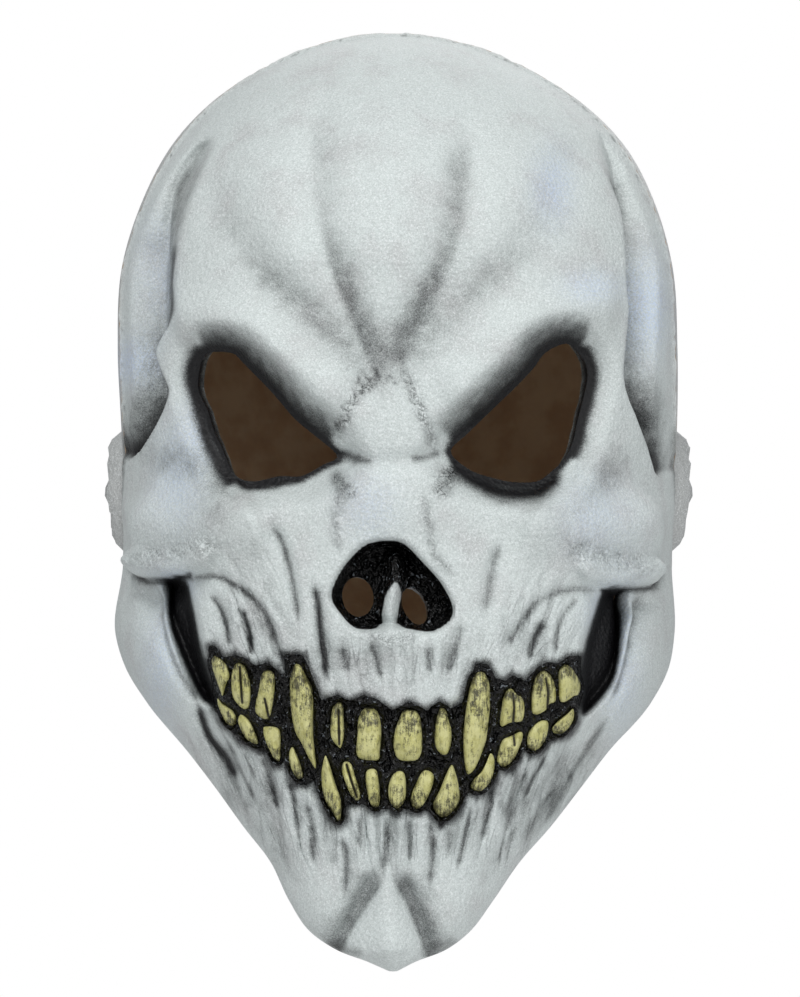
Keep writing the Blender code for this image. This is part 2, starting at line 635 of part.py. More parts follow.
def tooth_shape(width, length, pointed, proud):
    """A convex tooth lying on its back: tip towards -Y, face towards +Z."""
    body = bmesh.new()
    bmesh.ops.create_uvsphere(body, u_segments=TOOTH_SEGMENTS, v_segments=TOOTH_RINGS, radius=1.0)
    for vertex in body.verts:
        x, y, z = vertex.co
        toward_tip = 0.5 * (1.0 - z)
        narrow = 1.0 - pointed * toward_tip**TOOTH_TAPER
        blunt = max(1.0 - z * z, 0.01) ** (-TOOTH_SQUARENESS * (1.0 - pointed))
        front = y if y > 0.0 else BACK_FULLNESS * y
        vertex.co = Vector((
            x * narrow * blunt,
            0.5 * length * z,
            proud * front * (1.0 - BULGE_TAPER + BULGE_TAPER * narrow),
        ))
    widest = max(vertex.co.x for vertex in body.verts)
    for vertex in body.verts:
        vertex.co.x *= 0.5 * width / widest
    bmesh.ops.delete(body, geom=list(body.edges) + list(body.faces), context="EDGES_FACES")
    hull = bmesh.ops.convex_hull(body, input=body.verts)
    spare = set(hull["geom_interior"] + hull["geom_unused"])
    spare = [item for item in spare if isinstance(item, bmesh.types.BMVert)]
    bmesh.ops.delete(body, geom=spare, context="VERTS")
    return body


def seat_tooth(body, across, height, lean, skin):
    """Stand a tooth on the gum, a small gap off it."""
    toward = Vector((0.0, 1.0, 0.0))
    eye = Vector((0.0, EYE_PLANE_Y - VIEW_DISTANCE, VIEW_HEIGHT))
    target = Vector((across, EYE_PLANE_Y, height))
    hit, normal, _, _ = skin.ray_cast(eye, (target - eye).normalized())
    out = (normal + Vector((0.0, -1.0, 0.0))).normalized()
    up = Vector((0.0, 0.0, 1.0))
    side = toward.cross(up).normalized()
    side = (side - out * side.dot(out)).normalized()
    up = out.cross(side)
    if up.z < 0.0:
        up = -up
    side = up.cross(out)
    turn = math.radians(lean)
    lengthwise = up * math.cos(turn) + side * math.sin(turn)
    crosswise = side * math.cos(turn) - up * math.sin(turn)
    for vertex in body.verts:
        x, y, z = vertex.co
        vertex.co = hit + crosswise * x + lengthwise * y + out * (z + TOOTH_START)
    drops = [skin.ray_cast(vertex.co, -out)[3] for vertex in body.verts]
    clear = min(drop for drop in drops if drop)
    bmesh.ops.translate(body, verts=body.verts, vec=out * (TOOTH_GAP - clear))


def build_teeth(row_name, rows, tips_down, skin, group, material):
    """A row of teeth, viewer's left to right."""
    for number, (across, height, width, length, lean, pointed, proud) in enumerate(rows, 1):
        body = tooth_shape(width, length, pointed, proud)
        if not tips_down:
            bmesh.ops.rotate(body, verts=body.verts, matrix=Matrix.Rotation(math.pi, 3, "Z"))
        seat_tooth(body, across, height, lean, skin)
        to_world(body)
        add_object(f"{row_name}_{number:02d}", body, group, material)


def main():
    """Build the whole mask."""
    clear_scene()
    group = new_collection(COLLECTION)
    cutters = new_collection("cutters")
    bone = painted("bone_paint", (0.66, 0.69, 0.68), 0.45)
    cap = painted("cap_paint", (0.48, 0.50, 0.50), 0.5)
    ivory = painted("tooth_paint", (0.48, 0.45, 0.14), 0.35)
    sheet = skin_mesh()
    cut_away(sheet, outside_rim)
    cut_away(sheet, in_holes)
    sheet = thinned(sheet)
    gum = BVHTree.FromBMesh(sheet)
    to_world(sheet)
    build_skin("face_skin", sheet, seam_block("behind_seam", 1.0, cutters), group, bone)
    build_skin("rear_skin", sheet, seam_block("before_seam", -1.0, cutters), group, cap)
    sheet.free()
    build_teeth("tooth_upper", UPPER_TEETH, True, gum, group, ivory)
    build_teeth("tooth_lower", LOWER_TEETH, False, gum, group, ivory)


if __name__ == "__main__":
    main()
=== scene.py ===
"""Dressed visual model of a full-head latex skull mask.

Tables are in millimetres. Heights count from the eye line, and places on the face are given as
they show from straight ahead, measured on the plane of the eyes. Everything becomes metres, with
the origin at the crown seat, when a mesh is made.
"""

import logging
import math
from dataclasses import dataclass, field
from enum import Enum
from typing import NamedTuple

import bmesh
import bpy
import numpy as np
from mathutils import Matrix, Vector
from mathutils.bvhtree import BVHTree


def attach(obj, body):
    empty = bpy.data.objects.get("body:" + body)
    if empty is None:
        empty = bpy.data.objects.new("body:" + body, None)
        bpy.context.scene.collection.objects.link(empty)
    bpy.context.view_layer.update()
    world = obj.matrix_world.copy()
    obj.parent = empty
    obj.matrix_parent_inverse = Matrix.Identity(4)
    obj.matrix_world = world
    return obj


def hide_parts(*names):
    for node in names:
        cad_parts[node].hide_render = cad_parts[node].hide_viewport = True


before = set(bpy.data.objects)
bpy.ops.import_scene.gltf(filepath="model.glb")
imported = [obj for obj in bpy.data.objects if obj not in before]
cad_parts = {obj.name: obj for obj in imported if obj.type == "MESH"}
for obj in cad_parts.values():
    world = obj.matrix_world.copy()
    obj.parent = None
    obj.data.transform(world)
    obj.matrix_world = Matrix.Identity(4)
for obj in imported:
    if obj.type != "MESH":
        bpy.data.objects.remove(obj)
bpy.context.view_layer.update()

LOG = logging.getLogger("skull_mask")
MM = 0.001
WALL = 2.4
CROWN_HEIGHT = 107.0
EYE_LINE_Z = WALL - CROWN_HEIGHT
SEAM_GAP = 0.16
BODY = "root"

Array = np.ndarray
Outline = tuple[tuple[float, float], ...]
Colour = tuple[float, float, float]


def smoothstep(value: Array) -> Array:
    """Ease from 0 to 1 with level ends.

    Args:
        value: Numbers of any size, cut off at 0 and 1.

    Returns:
        The eased numbers.
    """
    t = np.clip(value, 0.0, 1.0)
    return t * t * (3.0 - 2.0 * t)


def through(stations: Array, values: Array, at: Array) -> Array:
    """Pass a smooth curve through rows of values given at rising stations.

    Args:
        stations: Rising places of the rows.
        values: One row of numbers for each station.
        at: Places where the curve is read.

    Returns:
        One row of numbers for each place.
    """
    stations = np.asarray(stations, float)
    values = np.asarray(values, float)
    steps = np.diff(stations)
    slopes = np.diff(values, axis=0) / steps[:, None]
    tangents = np.empty_like(values)
    tangents[0] = slopes[0]
    tangents[-1] = slopes[-1]
    share = (steps[1:] / (steps[1:] + steps[:-1]))[:, None]
    tangents[1:-1] = slopes[:-1] * share + slopes[1:] * (1.0 - share)
    cell = np.clip(np.searchsorted(stations, at, side="right") - 1, 0, len(steps) - 1)
    width = steps[cell][:, None]
    t = ((at - stations[cell])[:, None]) / width
    start, end = values[cell], values[cell + 1]
    leave, arrive = tangents[cell] * width, tangents[cell + 1] * width
    return (
        (2 * t**3 - 3 * t**2 + 1) * start
        + (t**3 - 2 * t**2 + t) * leave
        + (3 * t**2 - 2 * t**3) * end
        + (t**3 - t**2) * arrive
    )


def smooth_line(points: Outline, per_span: int = 5) -> Array:
    """Round a short row of points into a flowing line.

    Args:
        points: Places that the line passes through.
        per_span: Straight steps between two places.

    Returns:
        The line's places, one a row.
    """
    rows = np.asarray(points, float)
    count = per_span * (len(rows) - 1) + 1
    return through(np.arange(len(rows), dtype=float), rows, np.linspace(0.0, len(rows) - 1.0, count))


def line_distance(across: Array, height: Array, line: Array) -> tuple[Array, Array, Array]:
    """Measure how far places lie from a line.

    Args:
        across: The places' distances to the right.
        height: The places' heights.
        line: The line's places, one a row.

    Returns:
        The distances, how far along the line, 0 to 1, each nearest spot is, and whether each place
        is on the left hand of someone who walks along the line.
    """
    nearest = np.full(across.shape, np.inf)
    along = np.zeros(across.shape)
    on_left = np.zeros(across.shape, bool)
    spans = len(line) - 1
    for index in range(spans):
        start = line[index]
        run = line[index + 1] - start
        right, up = across - start[0], height - start[1]
        t = np.clip((right * run[0] + up * run[1]) / max(run @ run, 1e-9), 0.0, 1.0)
        gap = np.hypot(right - t * run[0], up - t * run[1])
        closer = gap < nearest
        nearest = np.where(closer, gap, nearest)
        along = np.where(closer, (index + t) / spans, along)
        on_left = np.where(closer, run[0] * up > run[1] * right, on_left)
    return nearest, along, on_left


def within_reach(across: Array, height: Array, line: Array, reach: float) -> Array:
    """Pick out the places in the box round a line.

    Args:
        across: The places' distances to the right.
        height: The places' heights.
        line: The line's places, one a row.
        reach: How far the box stands off the line.

    Returns:
        Whether each place is in the box.
    """
    low, high = line.min(axis=0) - reach, line.max(axis=0) + reach
    return (across > low[0]) & (across < high[0]) & (height > low[1]) & (height < high[1])


def inside_distance(across: Array, height: Array, outline: Outline | Array) -> Array:
    """Measure the signed distance to a closed outline, positive inside it.

    Args:
        across: The places' distances to the right.
        height: The places' heights.
        outline: Corners of the outline in order.

    Returns:
        The signed distances.
    """
    corners = np.asarray(outline, float)
    ring = np.concatenate((corners, corners[:1]))
    nearest, _, _ = line_distance(across, height, ring)
    inside = np.zeros(across.shape, bool)
    for start, end in zip(ring[:-1], ring[1:]):
        crosses = (start[1] > height) != (end[1] > height)
        drop = end[1] - start[1]
        reach = start[0] + (height - start[1]) * (end[0] - start[0]) / (drop if drop else 1.0)
        inside ^= crosses & (across < reach)
    return np.where(inside, nearest, -nearest)


def closed_curve(outline: Outline, count: int = 0) -> Array:
    """Round a closed outline into a flowing ring.

    Args:
        outline: Corners of the outline in order.
        count: Places on the ring, or 0 for three a corner.

    Returns:
        The ring's places, one a row.
    """
    corners = np.asarray(outline, float)
    count = count or 3 * len(corners)
    padded = np.concatenate((corners[-2:], corners, corners[:3]))
    at = np.linspace(0.0, len(corners), count, endpoint=False)
    return through(np.arange(len(padded), dtype=float) - 2.0, padded, at)


def zigzag(points: Outline, swing: float, turns: int) -> Outline:
    """Swing a line from side to side, as a scribble does.

    Args:
        points: Places that the scribble's middle passes through.
        swing: How far it swings to each hand.
        turns: Number of turns.

    Returns:
        The turning places.
    """
    line = smooth_line(points, 12)
    ahead = np.gradient(line, axis=0)
    ahead /= np.linalg.norm(ahead, axis=1, keepdims=True)
    spots = np.linspace(0, len(line) - 1, turns).round().astype(int)
    sizes = swing * (0.55 + 0.45 * np.cos(2.3 * np.arange(turns) ** 1.5)) * (-1.0) ** np.arange(turns)
    aside = np.column_stack((-ahead[spots, 1], ahead[spots, 0])) * sizes[:, None]
    return tuple(map(tuple, (line[spots] + aside).tolist()))


def lattice_noise(points: Array, size: float, seed: int) -> Array:
    """Make smooth repeatable noise from 0 to 1.

    Args:
        points: Places in space, one a row.
        size: Width of one lump.
        seed: Picks the pattern.

    Returns:
        One number for each place.
    """
    edge = 32
    lattice = np.random.default_rng(seed).random((edge, edge, edge))
    place = points / size
    low = np.floor(place).astype(int)
    part = smoothstep(place - low)
    total = np.zeros(len(points))
    for corner in range(8):
        offset = np.array((corner & 1, corner >> 1 & 1, corner >> 2 & 1))
        weight = np.prod(np.where(offset, part, 1.0 - part), axis=1)
        x, y, z = ((low + offset) % edge).T
        total += weight * lattice[x, y, z]
    return total


def store(mesh: bpy.types.Mesh, name: str, values: Array) -> None:
    """Store one number on each point of a mesh."""
    layer = mesh.attributes.new(name, "FLOAT", "POINT")
    layer.data.foreach_set("value", values.astype(np.float32))


def dress(item: bpy.types.Object, node: str) -> None:
    """Put a finished piece in place of its plain solid.

    Args:
        item: The piece.
        node: The solid that it stands for.
    """
    bpy.context.scene.collection.objects.link(item)
    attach(item, BODY)
    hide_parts(node)
    LOG.info("%s: %d points, %d faces", item.name, len(item.data.vertices), len(item.data.polygons))


@dataclass(frozen=True)
class Sight:
    """The straight-ahead view in which places on the face are given."""

    distance: float = 950.0
    height: float = -20.75
    plane_y: float = -95.0

    def apparent(self, points: Array) -> tuple[Array, Array]:
        """Find where points show on the plane of the eyes.

        Args:
            points: Places in space, one a row.

        Returns:
            Their distances to the right, and their heights.
        """
        scale = self.distance / (self.distance + points[..., 1] - self.plane_y)
        return points[..., 0] * scale, (points[..., 2] - self.height) * scale + self.height

    def toward(self, points: Array) -> Array:
        """Find the directions from points to the viewing eye.

        Args:
            points: Places in space, one a row.

        Returns:
            Unit directions.
        """
        eye = np.array((0.0, self.plane_y - self.distance, self.height))
        away = eye - points
        return away / np.linalg.norm(away, axis=-1, keepdims=True)


@dataclass(frozen=True)
class Stroke:
    """A fold modelled along a line, and the airbrushed tone laid in it.

    Rise is how far the fold stands proud, or sinks if negative, and width is its half width.
    Tone is the darkest density of the paint, and spread is the half width of the tone. Left and
    right stretch both half widths on one hand of someone who walks along the line.
    """

    points: Outline
    width: float = 2.0
    rise: float = 0.0
    tone: float = 0.0
    spread: float = 2.0
    fade: float = 0.25
    left: float = 1.0
    right: float = 1.0

    def profile(self, across: Array, height: Array, half_width: float) -> Array:
        """Read the stroke's strength, 1 along its middle and 0 away from it.

        Args:
            across: The places' distances to the right.
            height: The places' heights.
            half_width: Distance at which the strength has fallen to about a third.

        Returns:
            The strengths.
        """
        line = smooth_line(self.points)
        near = within_reach(across, height, line, 2.6 * half_width * max(self.left, self.right))
        strength = np.zeros(across.shape)
        if near.any():
            gap, along, on_left = line_distance(across[near], height[near], line)
            ends = smoothstep(1.5 * np.minimum(along, 1.0 - along) / self.fade)
            gap /= half_width * np.where(on_left, self.left, self.right) * (0.45 + 0.55 * ends)
            strength[near] = (0.15 + 0.85 * ends) * np.exp(-(gap**2))
        return strength

    def shade(self, across: Array, height: Array) -> Array:
        """Read the density of the tone, with a crisp core where the stroke is a fold.

        Args:
            across: The places' distances to the right.
            height: The places' heights.

        Returns:
            Densities, 0 to 1.
        """
        soft = self.profile(across, height, self.spread)
        if not self.rise:
            return self.tone * soft
        return self.tone * (0.4 * soft + 0.7 * self.profile(across, height, 0.55 * self.spread))


@dataclass(frozen=True)
class Swell:
    """A broad soft lump with a tone of its own, airbrushed on some swells and painted shade on others."""

    across: float
    height: float
    half_width: float
    half_height: float
    rise: float = 0.0
    tone: float = 0.0

    def profile(self, across: Array, height: Array) -> Array:
        """Read the lump's strength.

        Args:
            across: The places' distances to the right.
            height: The places' heights.

        Returns:
            Strengths, 1 at the lump's middle.
        """
        wide = (across - self.across) / self.half_width
        tall = (height - self.height) / self.half_height
        return np.exp(-(wide**2) - tall**2)


@dataclass(frozen=True)
class Hollow:
    """An area sunk behind an outline, with walls of a given width."""

    outline: Outline
    depth: float
    wall: float
    tone: float = 0.0
    tone_edge: float = 2.0
    start: float = 0.35

    def profile(self, across: Array, height: Array, wall: float) -> Array:
        """Read how sunk each place is, 0 outside and 1 on the floor."""
        ring = closed_curve(self.outline)
        return smoothstep(inside_distance(across, height, ring) / wall + self.start)


class Side(Enum):
    """The part of the skin in front of the seam, or behind it."""

    FRONT = 1.0
    REAR = -1.0


# Level sections, crown to chin:
# height, left half width, right half width, front y, side y, rear y, front power, rear power
SECTIONS = (
    (107.0, 1.5, 1.5, 3.0, 5.0, 7.0, 2.0, 2.0),
    (105.8, 13.0, 13.0, -9.0, 5.0, 22.0, 2.0, 2.0),
    (102.5, 24.0, 24.0, -24.0, 5.0, 38.0, 2.0, 2.0),
    (95.6, 38.5, 39.0, -44.0, 5.0, 58.0, 2.0, 2.0),
    (87.3, 50.5, 52.0, -59.0, 5.0, 72.0, 2.05, 2.0),
    (75.0, 61.5, 64.0, -74.0, 5.0, 84.0, 2.1, 2.0),
    (60.0, 69.0, 71.5, -86.0, 4.0, 93.0, 2.2, 2.0),
    (42.0, 74.3, 76.3, -93.0, 3.0, 98.0, 2.3, 2.0),
    (20.0, 75.3, 77.5, -96.0, 2.0, 100.0, 2.35, 2.0),
    (0.0, 74.3, 77.3, -97.0, 0.0, 97.0, 2.35, 2.0),
    (-20.0, 73.5, 76.3, -99.0, -3.0, 89.0, 2.3, 2.0),
    (-40.0, 73.5, 75.5, -102.0, -8.0, 77.0, 2.2, 2.0),
    (-57.0, 75.0, 75.8, -105.0, -15.0, 64.0, 2.1, 2.0),
    (-66.0, 72.0, 74.0, -106.0, -20.0, 56.0, 2.05, 2.0),
    (-75.0, 66.0, 69.0, -106.0, -26.0, 46.0, 2.0, 2.0),
    (-88.0, 54.0, 56.5, -105.0, -38.0, 30.0, 2.0, 2.0),
    (-96.5, 46.5, 49.0, -103.5, -48.0, 16.0, 2.05, 2.0),
    (-105.5, 39.0, 41.0, -102.0, -58.0, 0.0, 2.15, 2.0),
    (-114.0, 31.5, 32.5, -101.0, -68.0, -14.0, 2.25, 2.0),
    (-123.0, 26.5, 25.5, -101.0, -77.0, -30.0, 2.3, 2.0),
    (-130.0, 21.3, 19.7, -101.5, -83.0, -46.0, 2.3, 2.0),
    (-134.0, 15.0, 14.0, -101.5, -87.0, -60.0, 2.2, 2.0),
    (-136.8, 6.8, 6.0, -100.5, -91.0, -76.0, 2.0, 2.0),
    (-138.8, 1.2, 1.2, -98.0, -96.0, -94.0, 2.0, 2.0),
)

# Lower edge of the skin seen from the side: y, height
RIM = (
    (-120.0, -146.0),
    (-97.0, -141.0),
    (-88.0, -134.0),
    (-78.0, -124.0),
    (-62.0, -110.0),
    (-46.0, -97.0),
    (-30.0, -87.0),
    (-10.0, -78.0),
    (15.0, -72.0),
    (50.0, -69.0),
    (120.0, -68.0),
)

# Seam seen from the side: height, y
SEAM = (
    (-150.0, 12.0),
    (-80.0, 8.0),
    (-50.0, 2.0),
    (-30.0, -14.0),
    (-10.0, -30.0),
    (10.0, -34.0),
    (40.0, -31.0),
    (66.0, -29.0),
    (87.0, -24.0),
    (104.0, -17.0),
    (120.0, -15.0),
)

# Outlines on the face: across, height
EYE_LEFT = (
    (-46.8, 15.2), (-40.5, 15.5), (-37.5, 13.0), (-30.0, 5.3), (-24.8, -0.8), (-19.8, -5.0),
    (-13.8, -10.3), (-17.3, -12.3), (-22.8, -15.3), (-28.3, -15.3), (-34.5, -16.6), (-38.5, -15.8),
    (-40.8, -13.0), (-42.8, -8.0), (-44.8, -4.0), (-46.3, 1.0), (-48.6, 6.0), (-48.6, 10.0),
)
EYE_RIGHT = (
    (42.8, 17.8), (45.3, 16.6), (47.8, 13.5), (48.6, 10.0), (48.0, 6.0), (46.0, -1.8),
    (45.0, -6.5), (42.8, -11.0), (39.5, -14.2), (36.0, -16.6), (30.0, -16.8), (23.3, -15.3),
    (18.8, -13.5), (14.3, -9.2), (18.3, -5.0), (25.3, 1.8), (30.5, 6.8), (35.0, 11.5),
    (38.0, 15.5),
)
NASAL_CAVITY = (
    (-6.3, -32.3), (-1.5, -31.5), (2.8, -32.3), (8.0, -37.5), (11.8, -41.8), (14.8, -47.5),
    (14.2, -51.3), (10.0, -54.0), (6.0, -53.8), (0.0, -53.0), (-5.0, -53.6), (-9.5, -53.2),
    (-12.8, -50.0), (-15.4, -45.5), (-13.5, -40.0), (-10.0, -35.3),
)
CHEEK_HOLLOW_LEFT = (
    (-58.5, -41.5), (-51.8, -41.0), (-49.8, -47.5), (-47.3, -59.8), (-43.8, -72.0), (-47.8, -71.5),
    (-50.8, -66.0), (-54.5, -57.5), (-58.0, -48.5),
)
CHEEK_HOLLOW_RIGHT = (
    (52.0, -44.5), (55.5, -43.5), (59.5, -44.0), (60.0, -49.0), (58.0, -59.8), (54.5, -68.0),
    (48.3, -75.0), (46.6, -72.5), (47.3, -59.8), (50.3, -48.5),
)
TEMPLE_LEFT = (
    (-45.5, 67.3), (-50.5, 56.5), (-54.8, 41.0), (-55.3, 25.8), (-59.8, 17.8), (-60.0, 12.5),
    (-56.8, 6.0), (-59.8, -1.5), (-65.5, -9.5), (-64.0, 5.0), (-65.0, 24.0), (-64.3, 39.0),
    (-60.8, 47.0), (-56.0, 58.5), (-49.3, 67.3),
)
TEMPLE_RIGHT = (
    (54.0, 58.8), (58.0, 50.3), (59.0, 37.5), (59.6, 26.0), (58.3, 10.0), (60.8, 2.0),
    (64.0, -6.0), (66.0, -9.0), (64.5, 5.0), (65.0, 18.0), (65.5, 35.0), (62.8, 47.0),
    (57.0, 62.0), (51.5, 70.0),
)
MOUTH_BAND = (
    (-46.3, -58.0), (-38.0, -61.5), (-30.5, -62.5), (-25.0, -59.5), (-21.5, -60.5), (-18.5, -69.0),
    (-11.0, -71.5), (0.0, -73.0), (11.0, -72.5), (17.0, -70.0), (20.0, -62.0), (24.0, -62.0),
    (28.0, -66.0), (37.0, -63.0), (47.3, -60.5), (47.3, -70.5), (44.0, -79.0), (37.5, -82.5),
    (29.0, -87.5), (19.5, -94.5), (13.0, -101.5), (8.0, -99.3), (-8.0, -98.5), (-13.5, -101.5),
    (-18.5, -96.5), (-24.0, -92.5), (-33.5, -84.0), (-42.0, -78.0), (-46.3, -71.0),
)
# Through holes in the nasal cavity: across, height, half width, half height, lean in degrees
NOSTRILS = (
    (-8.8, -45.5, 3.9, 5.0, 8.0),
    (5.4, -47.8, 2.9, 4.9, 22.0),
)

# Folds broad enough to show on the inside of the latex too
BROAD_STROKES = (
    # forehead grooves
    Stroke(((-16.8, 83.5), (-19.5, 70.0), (-19.3, 52.0), (-15.8, 37.5), (-6.3, 17.5)), 5.0, -2.2),
    Stroke(((18.5, 78.0), (17.8, 62.5), (16.3, 46.0), (9.0, 30.0), (0.5, 14.5)), 5.0, -2.2),
    Stroke(((-44.5, 60.5), (-41.8, 49.0), (-27.3, 31.8), (-8.3, 17.5)), 5.5, -2.2),
    Stroke(((44.5, 70.0), (42.5, 56.8), (27.3, 36.5), (10.0, 24.3)), 5.5, -2.2),
    # swells between the forehead grooves
    Stroke(((-1.0, 88.0), (-1.0, 60.0), (-2.0, 32.0)), 8.0, 1.4),
    Stroke(((-36.0, 72.0), (-31.0, 52.0), (-19.0, 34.0)), 8.0, 1.4),
    Stroke(((34.0, 72.0), (30.0, 54.0), (18.0, 38.0)), 8.0, 1.4),
    # brow ridges
    Stroke(((-57.0, 24.0), (-50.0, 24.5), (-36.0, 20.0), (-21.0, 9.0), (-9.5, 0.5)), 6.5, 5.0),
    Stroke(((58.5, 27.0), (50.0, 27.0), (36.0, 21.5), (22.5, 10.0), (10.0, 0.0)), 6.5, 5.0),
    # bridge crease
    Stroke(((-13.5, -9.5), (-5.0, -11.7), (4.0, -11.5), (10.0, -9.5)), 2.4, -1.6),
    # cheekbones and their lower edges
    Stroke(((-66.0, -24.0), (-54.0, -27.0), (-42.0, -27.5), (-31.0, -24.0)), 9.0, 6.5),
    Stroke(((67.0, -24.0), (55.0, -28.0), (43.0, -28.5), (31.0, -24.0)), 9.0, 6.5),
    Stroke(((-66.0, -36.5), (-56.0, -37.5), (-44.0, -33.5)), 3.4, 4.0),
    Stroke(((66.0, -38.0), (57.0, -40.0), (45.0, -37.5)), 3.4, 4.0),
    Stroke(((-66.0, -44.5), (-56.0, -44.0), (-47.0, -41.0)), 3.4, -3.0),
    Stroke(((66.0, -46.0), (57.0, -46.5), (48.0, -44.0)), 3.4, -3.0),
    # grooves between the cheeks and the jaw panels
    Stroke(((-62.0, -42.5), (-58.5, -53.0), (-49.3, -70.0), (-42.8, -85.3), (-35.0, -98.0)), 3.0, -3.2),
    Stroke(((64.5, -45.0), (60.0, -60.3), (50.3, -77.3), (40.0, -91.0), (34.0, -99.0)), 3.0, -3.2),
    # chin grooves and centre bulb
    Stroke(((-3.8, -113.0), (-8.8, -123.0), (-13.3, -132.5), (-15.2, -136.0)), 2.6, -3.0),
    Stroke(((0.5, -114.0), (5.2, -123.0), (8.5, -132.5), (9.6, -136.0)), 2.6, -3.0),
    Stroke(((-1.5, -116.0), (-1.2, -127.0), (-0.6, -137.0)), 4.2, 2.6),
)

